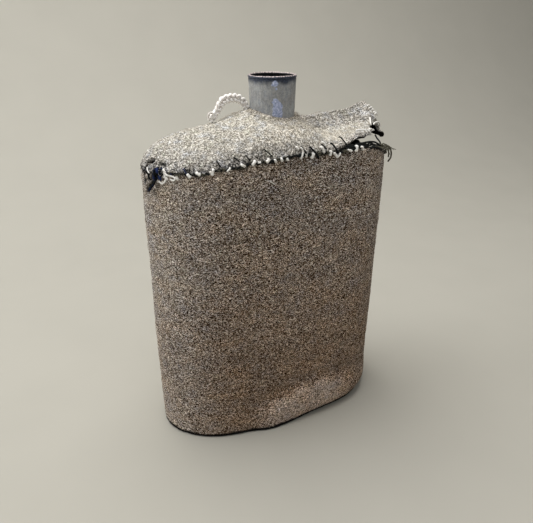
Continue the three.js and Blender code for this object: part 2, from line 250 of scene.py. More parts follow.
def thread(line, count, radius, sides=8, plies=2, twist=3.0, groove=0.16):
    """A tube of twisted thread along a smooth curve through the line's points."""
    return tube(curve_through(line, count), radius, sides, plies, twist, groove)


def make_threads(name, parts, material, node=None, body="bottle"):
    """One piece from several threads, which stands for a CAD node where one is named."""
    points, faces = join(parts)
    return make_mesh(name, points, faces, material, body, [node] if node else ())


# ---------------------------------------------------------------- the plan and the wall

def plan_outline(count):
    """Evenly spaced points of the plan, anticlockwise from above, and their outward directions.

    It starts at the middle of the back, where the wall panel meets itself.
    """
    half_depth = PLAN_DEPTH / 2
    flat = PLAN_LENGTH / 2 - END_LENGTH
    angle = np.linspace(-math.pi / 2, math.pi / 2, 400)
    straight = np.linspace(1, -1, 200)[1:-1] * flat
    right = np.column_stack([flat + END_LENGTH * np.cos(angle), half_depth * np.sin(angle)])
    back = np.column_stack([straight, np.full(straight.shape, half_depth)])
    stadium = np.vstack([right, back, -right, -back])
    bend = stadium[:, 0] / HIP_RADIUS
    radius = HIP_RADIUS - stadium[:, 1]
    bent = np.column_stack([radius * np.sin(bend), HIP_RADIUS - radius * np.cos(bend)])
    start = int(np.argmin(np.abs(bent[:, 0]) + np.where(bent[:, 1] > 0, 0, 1e6)))
    bent = np.roll(bent, -start, axis=0)
    outline = resample(np.vstack([bent, bent[:1]]), count + 1)[:-1]
    along = unit(np.roll(outline, -1, axis=0) - np.roll(outline, 1, axis=0))
    return outline, np.column_stack([along[:, 1], -along[:, 0]])


def seam_height(x):
    """The height of the plain shoulder seam: it tilts a little, and drops towards both ends."""
    across = np.asarray(x, float) / (PLAN_LENGTH / 2)
    return SEAM_HEIGHT + SEAM_TILT * across - SEAM_DROP * across**2


PERIMETER = 374.0
OUTLINE, OUTWARD = plan_outline(round(PERIMETER / GRAIN_STEP))
ROUND = len(OUTLINE)


def outline_point(axis, wanted, z, proud, side):
    """A point standing proud of one side of the plan, where its x (axis 0) or y (axis 1) is as wanted."""
    some, outward = OUTLINE[side], OUTWARD[side]
    order = np.argsort(some[:, axis])
    some, outward = some[order], outward[order]
    spot = [np.interp(wanted, some[:, axis], some[:, k]) for k in (0, 1)]
    spot[axis] = wanted
    lean = [np.interp(wanted, some[:, axis], outward[:, k]) for k in (0, 1)]
    return np.array([spot[0] + proud * lean[0], spot[1] + proud * lean[1], z])


def wall_point(x, z, proud=0.0, back=False):
    """A point on the cover's outside at a given x, on the front or the back, standing proud of it."""
    behind = OUTLINE[:, 1] > seam_split(OUTLINE[:, 0])
    return outline_point(0, x, z, proud, behind if back else ~behind)


def left_point(y, z, proud):
    """A point on the cover's outside near the left end, at a given y."""
    return outline_point(1, y, z, proud, (OUTLINE[:, 0] < -40) & (OUTLINE[:, 1] < 14))


def seam_split(x):
    """The plan's middle line, between its front and its back."""
    return np.asarray(x, float) ** 2 / (2 * HIP_RADIUS)


# How far the seam's dark groove wanders above or below the plain seam line, along x
GROOVE = [
    (-78, 0.6), (-66, 0.9), (-58, -0.4), (-50, -2.1), (-45, -1.2), (-39, -1.5), (-33, -2.0), (-27, -1.1),
    (-21, -1.4), (-16, -1.8), (-8, -1.2), (1, -0.9), (13, -1.2), (22, -1.0), (30, -0.9), (40, 0.0), (50, 0.7),
    (57, 0.5), (63, -0.9), (69, -3.2), (75, -5.0), (78, -5.4),
]


def front_groove(x):
    """The wander of the groove along the front."""
    line = np.array(GROOVE)
    return np.interp(x, line[:, 0], line[:, 1])


def groove_rise(x, y):
    """The wander of the groove at a point of the plan; the back seam runs true."""
    return front_groove(x) * smooth(14, 2, np.asarray(y) - seam_split(x))


# White stitches over the front seam: the thread's radius, then its course as (x, height above the seam)
WHITE_STITCHES = [
    (0.73, [(-57.9, 0.4), (-57.2, -0.8), (-56.3, -2.1)]),
    (0.73, [(-54.0, 0.4), (-53.0, -0.6), (-52.0, -1.6)]),
    (0.71, [(-46.0, 0.8), (-46.2, -1.0), (-46.6, -2.8)]),
    (0.56, [(-47.6, -0.4), (-47.0, -1.3), (-46.5, -2.2)]),
    (0.50, [(-37.4, -0.4), (-38.6, -1.3), (-39.8, -2.2)]),
    (0.71, [(-32.3, 0.3), (-31.0, -0.6), (-29.6, -1.5)]),
    (0.85, [(-24.5, 0.8), (-25.4, -0.3), (-26.6, -1.5)]),
    (0.54, [(-23.6, -0.2), (-22.4, -0.6), (-21.3, -0.4)]),
    (0.82, [(-17.0, 0.5), (-17.8, -0.4), (-18.7, -1.4)]),
    (0.72, [(-14.1, -0.6), (-13.7, -1.3), (-13.4, -2.0)]),
    (0.72, [(-10.6, -0.2), (-10.2, -1.1), (-9.9, -2.0)]),
    (0.66, [(-7.4, -0.7), (-7.0, -1.3), (-6.5, -1.9)]),
    (0.59, [(-1.2, 4.3), (-0.8, 3.6), (-0.4, 2.9)]),
    (0.59, [(1.5, 3.8), (2.1, 2.0), (1.7, 0.3), (0.8, -2.4)]),
    (0.61, [(3.9, 0.5), (4.0, -0.5), (4.2, -1.6)]),
    (0.92, [(8.5, 0.6), (7.9, -1.2), (7.1, -2.9)]),
    (0.76, [(13.3, 3.2), (14.4, 1.6), (15.0, -0.9)]),
    (0.44, [(14.7, 5.2), (15.9, 4.4), (16.3, 2.8)]),
    (0.73, [(19.6, 0.7), (19.2, -1.0), (18.8, -2.5)]),
    (0.80, [(21.0, -0.4), (22.5, -1.8), (23.7, -3.0), (23.3, -4.1)]),
    (0.62, [(25.7, -0.8), (24.8, -2.1), (24.2, -3.2)]),
    (0.73, [(31.2, 0.2), (32.3, 0.0), (33.5, -0.4)]),
    (0.70, [(37.3, 2.8), (37.1, 1.1), (36.9, -1.1)]),
    (0.67, [(41.0, 2.1), (41.5, 1.0), (42.0, -0.2)]),
]

# Dark stitches that slant up over the hem of the top panel
DARK_STITCHES = [
    (0.30, [(-58.9, 3.6), (-58.2, 2.4), (-57.6, 1.2)]),
    (0.34, [(-44.2, 4.0), (-43.2, 2.4), (-42.0, 0.5)]),
    (0.42, [(-35.4, 3.9), (-34.2, 3.2), (-32.8, 1.5)]),
    (0.34, [(-29.2, 3.9), (-28.3, 2.6), (-27.3, 1.1)]),
    (0.32, [(-19.2, 5.2), (-17.2, 3.2), (-15.0, 0.9)]),
    (0.34, [(1.6, 4.0), (2.8, 2.2), (4.1, 0.1)]),
    (0.52, [(6.6, 3.4), (9.2, 0.4), (12.0, -3.2)]),
    (0.36, [(14.0, 4.2), (15.2, 3.0), (16.5, 1.6)]),
    (0.52, [(20.2, 4.4), (22.0, 2.0), (24.0, -1.0)]),
    (0.36, [(26.8, 7.2), (28.6, 5.0), (30.6, 2.6)]),
]


def seam_point(x, rise, proud):
    """A point near the front seam: on the wall below the groove, on the top's rolled hem above it."""
    over = max(0.0, rise - front_groove(x) - 1.2)
    inset = 4.4 * (-math.log(1 - min(over, 12.0) / 14.0)) ** 1.25
    return wall_point(x, float(seam_height(x)) + rise, proud - inset)


def seam_stitch(radius, course, proud, plies):
    """A thread laid over the seam that sinks into the felt at both ends."""
    flat = curve_through([(x, 0.0, rise) for x, rise in course], 60)
    length = np.linalg.norm(np.diff(flat, axis=0), axis=1).sum()
    cut = round(60 * min(0.22, 0.9 * radius / length))
    kept = flat[cut : 60 - cut : 6]
    line = [seam_point(kept[0, 0], kept[0, 2], -1.4)]
    line.extend(seam_point(x, rise, proud) for x, rise in kept[:, [0, 2]])
    line.append(seam_point(kept[-1, 0], kept[-1, 2], -1.4))
    return tube(resample(curve_through(line, 80), 34), radius, 12, plies=plies, twist=1.0 / radius)


def pucker(x, y):
    """How strongly the nearest front stitch draws the felt in, from 0 to 1."""
    pull = np.zeros(np.shape(x))
    for _, course in WHITE_STITCHES:
        pull = np.maximum(pull, hump(x, course[-1][0], 1.6))
    return pull * (np.asarray(y) < seam_split(x))


def near_line(points, line):
    """Each point's distance from a polyline."""
    nearest = np.full(points.shape[:-1], 1e9)
    for a, b in zip(np.array(line[:-1], float), np.array(line[1:], float)):
        along = np.clip(((points - a) @ (b - a)) / ((b - a) @ (b - a)), 0, 1)
        nearest = np.minimum(nearest, np.linalg.norm(points - a - along[..., None] * (b - a), axis=-1))
    return nearest


# Worn-through places at the left corner: a slit down the wall, and creases in the top panel
LEFT_SLIT = [(-70.6, -11.8, 171.0), (-71.3, -10.6, 168.0), (-72.6, -7.6, 164.0), (-74.0, -3.2, 159.6)]
LEFT_CREASE = [(-73.4, -0.6, 171.6), (-72.2, -0.4, 173.0), (-70.9, -2.6, 174.6), (-69.8, -4.4, 175.0)]
LEFT_ARC = [(-67.4, -9.2, 174.6), (-66.2, -11.2, 174.6), (-65.4, -12.6, 174.2)]
SLIT_WIDTH = 1.0

# A thin dark crease across the front
FRONT_CREASE = [
    (-39.0, -30.6, 132.6), (-33.0, -31.2, 132.8), (-27.0, -31.6, 134.4), (-20.0, -32.0, 134.0),
    (-14.0, -32.5, 135.2), (-9.3, -32.6, 134.8),
]


def bulge_top(x):
    """The height of the crease over the slack felt at the foot of the wall."""
    return np.interp(x, [-34, -23, -6, 5, 20, 40, 60], [8, 17, 23, 27, 28, 23.5, 18])


def wall_relief(points):
    """The wall's own shape beyond the plain prism, and its felt grain, as a distance outwards."""
    x, y, z = points[..., 0], points[..., 1], points[..., 2]
    front = smooth(8, -8, y - seam_split(x))
    from_seam = seam_height(x) + groove_rise(x, y) - z
    relief = felt_relief(points, SEED)
    # The hem bellies out at the lower right under a soft crease, and tucks in again at the floor
    top = bulge_top(x)
    across = smooth(-34, -14, x) * smooth(72, 50, x) * front
    relief += 2.6 * smooth(2.0, -6.0, z - top) * across
    relief -= 1.4 * hump(z, top + 4.2, 3.4) * across
    relief -= 4.2 * smooth(11, -1, z) * smooth(-16, 22, x) * smooth(79, 62, x) * front
    # Slow waves where the felt has slackened over the steel
    relief += 0.45 * np.sin(x / 17 + 0.6) * np.sin(z / 31 + 0.4)
    # Worn dents and creases across the upper left
    relief -= 0.5 * hump(z, 132, 8) * hump(x, -26, 18) * front
    relief -= 1.0 * hump(near_line(points, FRONT_CREASE), 0, 1.0)
    relief -= 0.35 * hump(z, 96 - 0.08 * x, 1.4) * hump(x, 22, 20) * front
    # Ragged felt along the torn and mended rim
    relief += 1.0 * noise(points, 2.1, SEED + 9) * smooth(3.6, 0.4, from_seam) * (y - seam_split(x) < 4)
    # Stitches draw the top edge in
    relief -= (0.4 + 0.7 * pucker(x, y)) * smooth(4.0, 0.0, from_seam)
    # The worn slit at the left corner, with a lifted lip
    slit = near_line(points, LEFT_SLIT)
    relief += 0.5 * hump(slit, 2.6, 1.2) - 2.2 * hump(slit, 0, SLIT_WIDTH)
    # The two edges of the panel meet at the middle of the back
    relief -= 1.8 * np.exp(-np.abs(x) / 0.9) * (y > seam_split(x))
    # The hem turns under at the floor
    relief -= 1.4 * (1 - np.sqrt(np.clip(1 - np.clip(1 - z / 1.4, 0, 1) ** 2, 0, 1)))
    return relief


def taper(points):
    """The bottle narrows slightly towards the floor."""
    down = 1 - points[..., 2:3] / SEAM_HEIGHT
    shrink = np.array([1 - FOOT_LENGTH_RATIO, 1 - FOOT_DEPTH_RATIO])
    return np.concatenate([points[..., :2] * (1 - shrink * down), points[..., 2:]], axis=-1)


def rounded_rim(edge):
    """Three rings of points that turn the wall's top edge over, from its outside to its inside."""
    rim = []
    for angle in (35, 90, 145):
        point = edge.copy()
        point[:, :2] -= (FELT / 2 * (1 - math.cos(math.radians(angle)))) * OUTWARD
        point[:, 2] += 0.9 * math.sin(math.radians(angle))
        rim.append(point)
    return np.stack(rim, axis=1)


def wall_tints(points):
    """How faded, ruddy, pale and black the wall's wool is at each point: the pale and part of the fading are
    painted highlights, some of the black is painted shade.
    """
    x, y, z = points[:, 0], points[:, 1], points[:, 2]
    in_front = y < seam_split(x)
    ragged = 1.8 * noise(points, 3.0, SEED + 14)
    # Painted highlight over the bulge: its shaded lower face is lightened, partly as faded wool and partly by
    # the pale multiply
    bulge = smooth(2.0, -5.0, z - bulge_top(x) + ragged) * smooth(-34, -10, x) * smooth(52, 28, x) * in_front
    # Painted shade in the soft crease above the bulge, laid on through the ruddy tint
    above = hump(z, bulge_top(x) + 6.5, 6.5) * smooth(-34, -14, x) * smooth(62, 40, x) * in_front
    # Lighter towards the left end: part faded wool, part painted light from the side; the band about 112 mm
    # up at the left is a painted highlight
    faded_and_highlight = smooth(-46, -72, x) * (0.30 + 0.26 * smooth(60, 150, z))
    faded_and_highlight += (0.24 * smooth(10, -50, x) + 0.10 * smooth(20, 60, x)) * smooth(135, 175, z)
    faded_and_highlight += (
        0.2 * hump(z, 112, 14) * smooth(-38, -62, x) + 0.85 * bulge + 0.14 * noise(points, 14.0, SEED + 12)
    )
    # Ruddier and darker towards the bottom, less at the left and over the bulge, with painted shade added in
    # the crease above the bulge
    ruddy = smooth(165, 30, z) * (1 - 0.45 * bulge) * (0.3 + 0.7 * smooth(-70, -35, x)) + 0.55 * above
    # Painted contact shadow: the felt is blackened along its foot, where the hem meets the floor
    hem = smooth(3.3, 2.1, z + 0.5 * noise(points, 5.0, SEED + 15) - 0.7 * smooth(-30, 10, x))
    return {"faded_and_highlight": np.clip(faded_and_highlight, 0, 1), "ruddy": ruddy, "pale": bulge, "soil_and_shade": hem}


def felt_wall(material):
    """The wall panel: its felt outside, its ragged rim and its inside down to the hem."""
    rows, inner_rows = round(SEAM_HEIGHT / GRAIN_STEP), 10
    floor_gap = 0.05
    share = np.linspace(0, 1, rows)
    top = seam_height(OUTLINE[:, 0]) + groove_rise(OUTLINE[:, 0], OUTLINE[:, 1]) - 0.3
    outside = np.zeros((ROUND, rows, 3))
    outside[..., :2] = OUTLINE[:, None, :]
    outside[..., 2] = floor_gap + share[None, :] * (top[:, None] - floor_gap)
    plain = outside.copy()
    outside[..., :2] += wall_relief(outside)[..., None] * OUTWARD[:, None, :]
    outside[:, -1, 2] += 0.35 * noise(outside[:, -1], 3.0, SEED + 9)
    rim = rounded_rim(outside[:, -1])
    inside = np.zeros((ROUND, inner_rows, 3))
    inside[..., :2] = (OUTLINE - FELT * OUTWARD)[:, None, :]
    inside[..., 2] = np.linspace(1, 0, inner_rows)[None, :] * (top[:, None] - 0.3) + floor_gap
    loops = taper(np.concatenate([outside, rim, inside], axis=1))
    soil_and_shade = seam_soil_and_shade(np.concatenate([plain, rim, inside], axis=1).reshape(-1, 3), 1.1, SEED + 13)
    corners = loops.shape[1]
    points = loops.reshape(-1, 3)
    tints = wall_tints(points)
    tints["soil_and_shade"] = np.maximum(soil_and_shade, tints["soil_and_shade"])
    # The inside, and the rim's inner ring with it, is painted near-black as painted shade, too dark to show
    # its wool
    tints["hidden"] = np.tile(np.arange(corners) >= rows + 2, ROUND)
    return make_mesh(
        "felt_wall_panel", points, ring_faces(ROUND, corners), material, "bottle",
        ["cover_wall_panel"], tints,
    )


def seam_soil_and_shade(points, reach, seed):
    """How black the felt is near the front seam's groove and the worn places at the left corner: painted
    shade in the groove, the slit, the creases and the torn mouth, and soil in spots.
    """
    x, y, z = points[:, 0], points[:, 1], points[:, 2]
    front = y - seam_split(x) < 6
    groove = seam_height(x) + groove_rise(x, y)
    uneven = 0.6 + 0.9 * noise(points, 3.6, seed) + 0.5 * noise(points, 1.1, seed + 1)
    # Painted shade along the groove between the two panels
    line = hump(z, groove + 0.5, reach * np.clip(uneven, 0.3, 1.35))
    soil_and_shade = 1.6 * np.clip(uneven, 0, 1) * line * front * smooth(40, 30, x)
    # Painted shade down the slit and in the creases
    worn_lines = [
        (LEFT_SLIT, 1.6, 1.25), (LEFT_CREASE, 1.9, 1.2), (LEFT_ARC, 1.4, 1.1), (FRONT_CREASE, 0.42, 0.7),
    ]
    for wear_and_highlight, depth, width in worn_lines:
        soil_and_shade = np.maximum(soil_and_shade, depth * hump(near_line(points, wear_and_highlight), 0, width))
    knot = np.linalg.norm(points - [-71.0, -11.2, 170.8], axis=1)
    soil_and_shade = np.maximum(soil_and_shade, smooth(5.2, 2.2, knot) * smooth(-0.5, 0.3, noise(points, 1.6, seed + 2)))
    patch = hump(x, -72, 4.5) * hump(y, -4, 8) * hump(z, 165, 6.5)
    soil_and_shade = np.maximum(soil_and_shade, 1.6 * patch * smooth(-0.3, 0.4, noise(points, 2.2, seed + 3)))
    # Painted shade in the open mouth of the torn corner
    torn = hump(z, groove - 0.2, 1.4) * smooth(26, 36, x)
    return np.clip(np.maximum(soil_and_shade, 1.1 * torn * uneven), 0, 1)


def felt_base(material):
    """The base panel: flat underneath, with a rounded rim."""
    every = max(1, ROUND // 180)
    outline, outward = OUTLINE[::every], OUTWARD[::every]
    low, high = box_mm("cover_base_panel")
    thickness = high[2] - low[2]
    count = len(outline)
    inner = outline - (FELT + 2.2) * outward
    rings = []
    for inset, z in [(0.0, 1.6), (0.35, 0.5), (1.5, 0.0)]:
        rings.append(np.column_stack([outline - (FELT + 0.7 + inset) * outward, np.full(count, z)]))
    for share in np.linspace(0.94, 0.08, 14):
        rings.append(np.column_stack([inner * share, np.zeros(count)]))
    bottom = len(rings)
    for share in np.linspace(0.08, 0.94, 5):
        rings.append(np.column_stack([inner * share, np.full(count, thickness)]))
    rings.append(np.column_stack([outline - (FELT + 1.2) * outward, np.full(count, thickness)]))
    points = taper(np.stack(rings, axis=0))
    corners = len(rings)
    faces = []
    for j in range(corners):
        if j == bottom - 1:
            continue
        nxt = (j + 1) % corners
        for i in range(count):
            k = (i + 1) % count
            faces.append([j * count + i, nxt * count + i, nxt * count + k, j * count + k])
    faces.append([(bottom - 1) * count + i for i in range(count)])
    faces.append([bottom * count + i for i in range(count)][::-1])
    make_mesh(
        "felt_base_panel", points.reshape(-1, 3), faces, material, "bottle",
        ["cover_base_panel"], {"ruddy": np.ones(corners * count)},
    )


# ---------------------------------------------------------------- the top panel

# The ridge's height along x, before the felt rolls over to the seam
RIDGE = [
    (-76, 181.0), (-68, 183.0), (-56, 186.0), (-46, 188.2), (-36, 190.2), (-28, 192.0), (-20, 194.6),
    (-12, 195.8), (12, 193.6), (20, 190.2), (29, 189.7), (36, 190.0), (47, 190.8), (57, 191.6), (60, 192.4),
    (64, 193.6), (67, 194.4), (69, 194.7), (70.6, 194.4), (72.2, 193.2), (74.2, 191.0), (76.4, 187.9),
    (79.5, 184.0), (82.5, 179.6), (85.4, 174.2), (88, 170.0),
]

# The torn corner's free edge, from the front seam round the right end to the back seam
FREE_EDGE = [
    (20, -32.6, 178.2), (25, -31.2, 178.6), (31, -28.3, 180.2), (37.0, -25.7, 182.4), (41.7, -23.5, 182.8),
    (46, -21.4, 182.2), (50.2, -19.0, 181.4), (54, -16.5, 180.8), (59, -12.8, 180.0), (60.6, -10.6, 181.4),
    (61.8, -7.6, 183.0), (65.2, -4.0, 183.0), (69.2, 0.0, 182.3), (72.9, 3.0, 181.8), (76.0, 5.4, 180.6),
    (79.4, 7.6, 178.6), (82.4, 9.2, 176.0), (84.2, 10.4, 173.3), (83.6, 11.6, 172.9),
    (81.8, 13.2, 173.3), (79.0, 16.0, 173.9), (72.0, 21.5, 174.4), (63.0, 27.2, 174.8), (52.0, 32.4, 175.4),
    (40.0, 34.9, 176.2),
]
# A fold along the right half of the top, between the steep back face and the front roll
FOLD = [
    (16, -6, 185.5), (22.5, -6, 184.9), (29.7, -5, 184.6), (35, -5, 184.8), (42.4, -4, 185.6),
    (50, -3, 186.4), (57.7, -2, 186.4), (64, -1.5, 186.2),
]


def ridge_height(x):
    """The height of the top's ridge, smooth through the points of RIDGE."""
    fine = curve_through(RIDGE, 400)
    return np.interp(x, fine[:, 0], fine[:, 1])


def crown_height(x, y):
    """The height of the top's crown over any point of the plan."""
    ridge = ridge_height(x)
    middle = seam_split(x) + 3.5 * smooth(10, 40, x)
    forward = np.clip(middle - y, 0, None)
    backward = np.clip(y - middle, 0, None)
    right = smooth(4, 34, x)
    plain = 11.0 * (forward / 34) ** 1.7
    pinched = 6.4 * (1 - np.exp(-forward / 6.0)) + 0.11 * forward
    pinched = pinched * smooth(76, 60, x) + 0.5 * forward * smooth(60, 76, x)
    fall = plain * (1 - right) + pinched * right
    fall_back = 11.0 * (backward / 34) ** 1.5 + 0.36 * backward * smooth(38, 58, x)
    return ridge - np.where(y < middle, fall, fall_back)


def top_edge():
    """The panel's whole edge as a closed line that starts in the middle of the back."""
    rise = seam_height(OUTLINE[:, 0]) + groove_rise(OUTLINE[:, 0], OUTLINE[:, 1]) + 1.1
    attached = np.column_stack([OUTLINE - 0.4 * OUTWARD, rise])
    heading = np.degrees(np.arctan2(attached[:, 1], attached[:, 0]))
    free = curve_through(FREE_EDGE, 400)
    first = math.degrees(math.atan2(free[0, 1], free[0, 0]))
    last = math.degrees(math.atan2(free[-1, 1], free[-1, 0]))
    whole = np.vstack([attached[~((heading > first) & (heading < last))], free])
    order = np.argsort(np.mod(np.degrees(np.arctan2(whole[:, 1], whole[:, 0])) - 90, 360), kind="stable")
    line = whole[order]
    closed = np.vstack([line, line[:1]])
    length = np.linalg.norm(np.diff(closed, axis=0), axis=1).sum()
    return resample(closed, round(length / GRAIN_STEP) + 1)[:-1]


def edge_to_hole(edge, hole, share):
    """A grid of plan points that runs from the edge, at share 0, in to the hole, at share 1."""
    part = share[None, :, None]
    return edge[:, None, :2] * (1 - part) + hole[:, None, :] * part


def top_relief(points, distance, pull):
    """The top's shape beyond its smooth crown: felt grain, puckers, creases and the fold."""
    front = points[..., 1] < seam_split(points[..., 0])
    relief = felt_relief(points, SEED + 20)
    relief -= (0.3 + 0.8 * pull) * np.exp(-distance / 2.2) * front
    relief += 1.0 * noise(points, 2.1, SEED + 24) * np.exp(-distance / 1.8) * front
    crease = near_line(points, LEFT_CREASE)
    relief += 0.5 * hump(crease, 2.4, 1.2) - 2.6 * hump(crease, 0, 1.0)
    relief -= 1.1 * hump(near_line(points, LEFT_ARC), 0, 0.9)
    relief -= 0.9 * hump(near_line(points, FOLD), 0, 1.3)
    relief += 0.5 * hump(near_line(points + [0, 2.2, 0], FOLD), 0, 1.4)
    relief += 0.7 * noise(points * [1, 1, 0], 12.0, SEED + 31) * smooth(0, 6, distance)
    return relief


def top_tints(points, near_edge, near_neck):
    """How grey, brown and pale the top's wool is at each point: the grey holds painted shade behind the fold,
    and the pale is painted light.
    """
    x, y, z = points[:, 0], points[:, 1], points[:, 2]
    fold_y = np.interp(x, [16, 42, 63], [-6, -4, -2])
    # Painted shade behind the fold, on the steep face that turns away from the light; it goes into the grey
    shaded = smooth(-1.5, 2.5, y - fold_y) * smooth(10, 24, x)
    grey = 0.85 * np.exp(-near_edge / 6.4) * (y < seam_split(x)) * smooth(66, 50, x)
    grey += 0.56 * shaded + 0.24 * smooth(-12, -40, x)
    brown = np.exp(-near_neck / 5.5) * (0.45 + 0.12 * smooth(-2, 14, x))
    # Painted light: the wool is lightened in front of the neck and to its right, where the neck's shadow
    # falls, at the right end, which faces away from the light, and on the front roll below the fold
    pale = hump(x, -4, 15) * hump(y, -24, 8) + 0.5 * hump(x, 24, 14) * hump(y, -18, 8)
    pale *= hump(z, 187, 9)
    pale += 0.35 * smooth(62, 70, x) + 0.25 * smooth(14, 26, x) * smooth(62, 50, x) * (1 - shaded)
    return {"grey": grey, "brown": brown, "pale": pale}


def felt_top(material):
    """The top panel: one sheet of felt from its hem and its torn free edge up to the collar at the neck."""
    edge = top_edge()
    columns = len(edge)
    rows = 84
    inner_rows = 22
    heading = np.arctan2(edge[:, 1] - NECK_CENTRE[1], edge[:, 0] - NECK_CENTRE[0])
    hole = compass(heading) * COLLAR_RADIUS + NECK_CENTRE
    outside = np.zeros((columns, rows, 3))
    outside[..., :2] = edge_to_hole(edge, hole, np.linspace(0, 1, rows) ** 1.35)
    x = outside[..., 0]
    distance = np.linalg.norm(edge[:, None, :2] - outside[..., :2], axis=-1)
    to_neck = np.linalg.norm(hole[:, None, :] - outside[..., :2], axis=-1)
    roll = 1 - np.exp(-((distance / (4.4 - 3.0 * smooth(52, 66, x))) ** 0.8))
    outside[..., 2] = edge[:, None, 2] + (crown_height(x, outside[..., 1]) - edge[:, None, 2]) * roll
    # The felt stands up in a soft collar against the neck, higher on the left
    outside[..., 2] += (0.5 - 0.5 * np.cos(heading))[:, None] * np.exp(-to_neck / 2.6)
    pull = pucker(edge[:, 0], edge[:, 1])[:, None] * (edge[:, 0] < 27)[:, None]
    normals = sheet_normals(outside)
    if normals[:, rows // 2, 2].mean() < 0:
        normals = -normals
    skin = outside + top_relief(outside, distance, pull)[..., None] * normals
    picks = np.linspace(0, rows - 1, inner_rows).round().astype(int)
    below = (outside - FELT * 0.86 * normals)[:, picks]
    lip = (skin[:, :1] + below[:, :1]) / 2
    lip[..., :2] += 0.5 * unit(edge[:, None, :2] - hole[:, None, :])
    lip_in = (skin[:, -1:] + below[:, -1:]) / 2
    lip_in[..., 2] += 0.3
    loops = np.concatenate([skin, lip_in, below[:, ::-1], lip], axis=1)
    plain = np.concatenate([outside, lip_in, below[:, ::-1], lip], axis=1)
    corners = loops.shape[1]
    points = loops.reshape(-1, 3)

    def round_loop(values):
        """Values for every corner of the loops, from values on the skin's grid."""
        loop = [values, values[:, -1:], values[:, picks][:, ::-1], values[:, :1]]
        return np.concatenate(loop, axis=1).ravel()

    tints = top_tints(points, round_loop(distance), round_loop(to_neck))
    tints["soil_and_shade"] = seam_soil_and_shade(plain.reshape(-1, 3), 1.0, SEED + 33)
    # The underside, and the lip round the hole with it, is painted near-black as painted shade, too dark to
    # show its wool
    order = np.arange(corners)
    tints["hidden"] = np.tile((order >= rows) & (order < corners - 1), columns)
    return make_mesh(
        "felt_top_panel", points, ring_faces(columns, corners), material, "bottle",
        ["cover_top_panel"], tints,
    )


def steel_shoulder(material):
    """The bottle's domed top, which falls away towards the open corner of the cover."""
    columns, rows = 160, 26
    outline = resample(np.vstack([OUTLINE, OUTLINE[:1]]), columns + 1)[:-1]
    along = unit(np.roll(outline, -1, axis=0) - np.roll(outline, 1, axis=0))
    edge = outline - (FELT + 1.6) * np.column_stack([along[:, 1], -along[:, 0]])
    hole = compass(np.arctan2(edge[:, 1], edge[:, 0])) * 13.0
    share = np.linspace(0, 1, rows)
    skin = np.zeros((columns, rows, 3))
    skin[..., :2] = edge_to_hole(edge, hole, share)
    low = seam_height(edge[:, 0]) - 4.5
    crown = crown_height(skin[..., 0], skin[..., 1]) - 7.5
    rise = 1 - np.exp(-3.2 * share[None, :] * (1 - 0.72 * smooth(10, 60, skin[..., 0])))
    skin[..., 2] = low[:, None] + (crown - low[:, None]) * rise
    foot = np.concatenate([edge, low[:, None] - 12], axis=1)[:, None]
    below = skin[:, ::-1] - [0, 0, 0.8]
    inner_foot = foot.copy()
    inner_foot[..., :2] *= 0.985
    loops = np.concatenate([foot, skin, below, inner_foot], axis=1)
    make_mesh(
        "flask_shoulder_dome", loops.reshape(-1, 3), ring_faces(columns, loops.shape[1]), material, "bottle",
        ["flask_shoulder"],
    )


# ---------------------------------------------------------------- the neck

def neck_profile():
    """Radius and height round the neck's section: up its outside, over the rolled rim and down its bore."""
    foot, foot_radius, body_radius = NECK_LOW[2], 12.05, RIM_RADIUS - 0.15
    bead = 0.85
    middle = RIM_HEIGHT - bead

    def flare(z):
        return (body_radius - foot_radius) * ((z - foot) / (RIM_HEIGHT - foot)) ** 0.9

    outside = [(foot_radius + flare(z), z) for z in np.linspace(foot, RIM_HEIGHT - 2 * bead - 0.15, 110)]
    rim = []
    for angle in np.radians(np.linspace(-75, 180, 22)):
        rim.append((body_radius - 0.68 + bead * math.cos(angle), middle + bead * math.sin(angle)))
    bore = [(foot_radius - 1.0 + flare(z), z) for z in np.linspace(middle - 0.6, foot, 30)]
    return np.array(outside + rim + bore)


def neck(material):
    """The flared neck with its rolled rim, turned, with small dents and chips of old enamel."""
    columns = 224
    profile = neck_profile()
    angles = np.linspace(0, 2 * math.pi, columns, endpoint=False)
    around = compass(angles)[:, None, :]
    turned_z = profile[None, :, 1]
    ring = np.zeros((columns, len(profile), 3))
    ring[..., :2] = around * profile[None, :, :1]
    ring[..., 2] = turned_z
    chips = chip_mask(ring, angles)
    dent = 0.10 * noise(ring, 9.0, SEED + 50) + 0.03 * noise(ring, 2.0, SEED + 51) + 0.09 * chips
    ring[..., :2] += dent[..., None] * around
    ring[..., :2] += NECK_CENTRE
    ring[..., 2] += 0.12 * noise(ring, 7.0, SEED + 52) * smooth(RIM_HEIGHT - 4, RIM_HEIGHT, turned_z)
    smudge = 1.1 * noise(ring, 2.2, SEED + 53) + 0.8 * noise(ring, 5.0, SEED + 56)
    band = smooth(RIM_HEIGHT - 5.6, RIM_HEIGHT - 1.9, ring[..., 2] + smudge)
    # The profile turns down into the bore after its 126th corner; the bore is painted near-black as painted
    # shade
    inner = np.tile(np.arange(len(profile)) > 126, columns)
    # Painted highlight along the top of the rolled rim
    rim_highlight = smooth(RIM_HEIGHT - 0.5, RIM_HEIGHT - 0.1, ring[..., 2])
    make_mesh(
        "neck_tube_enamelled", ring.reshape(-1, 3), ring_faces(columns, len(profile)), material, "bottle",
        ["neck_tube"],
        {"chips": chips.ravel(), "band": band.ravel(), "inner": inner, "rim_highlight": rim_highlight.ravel()},
    )


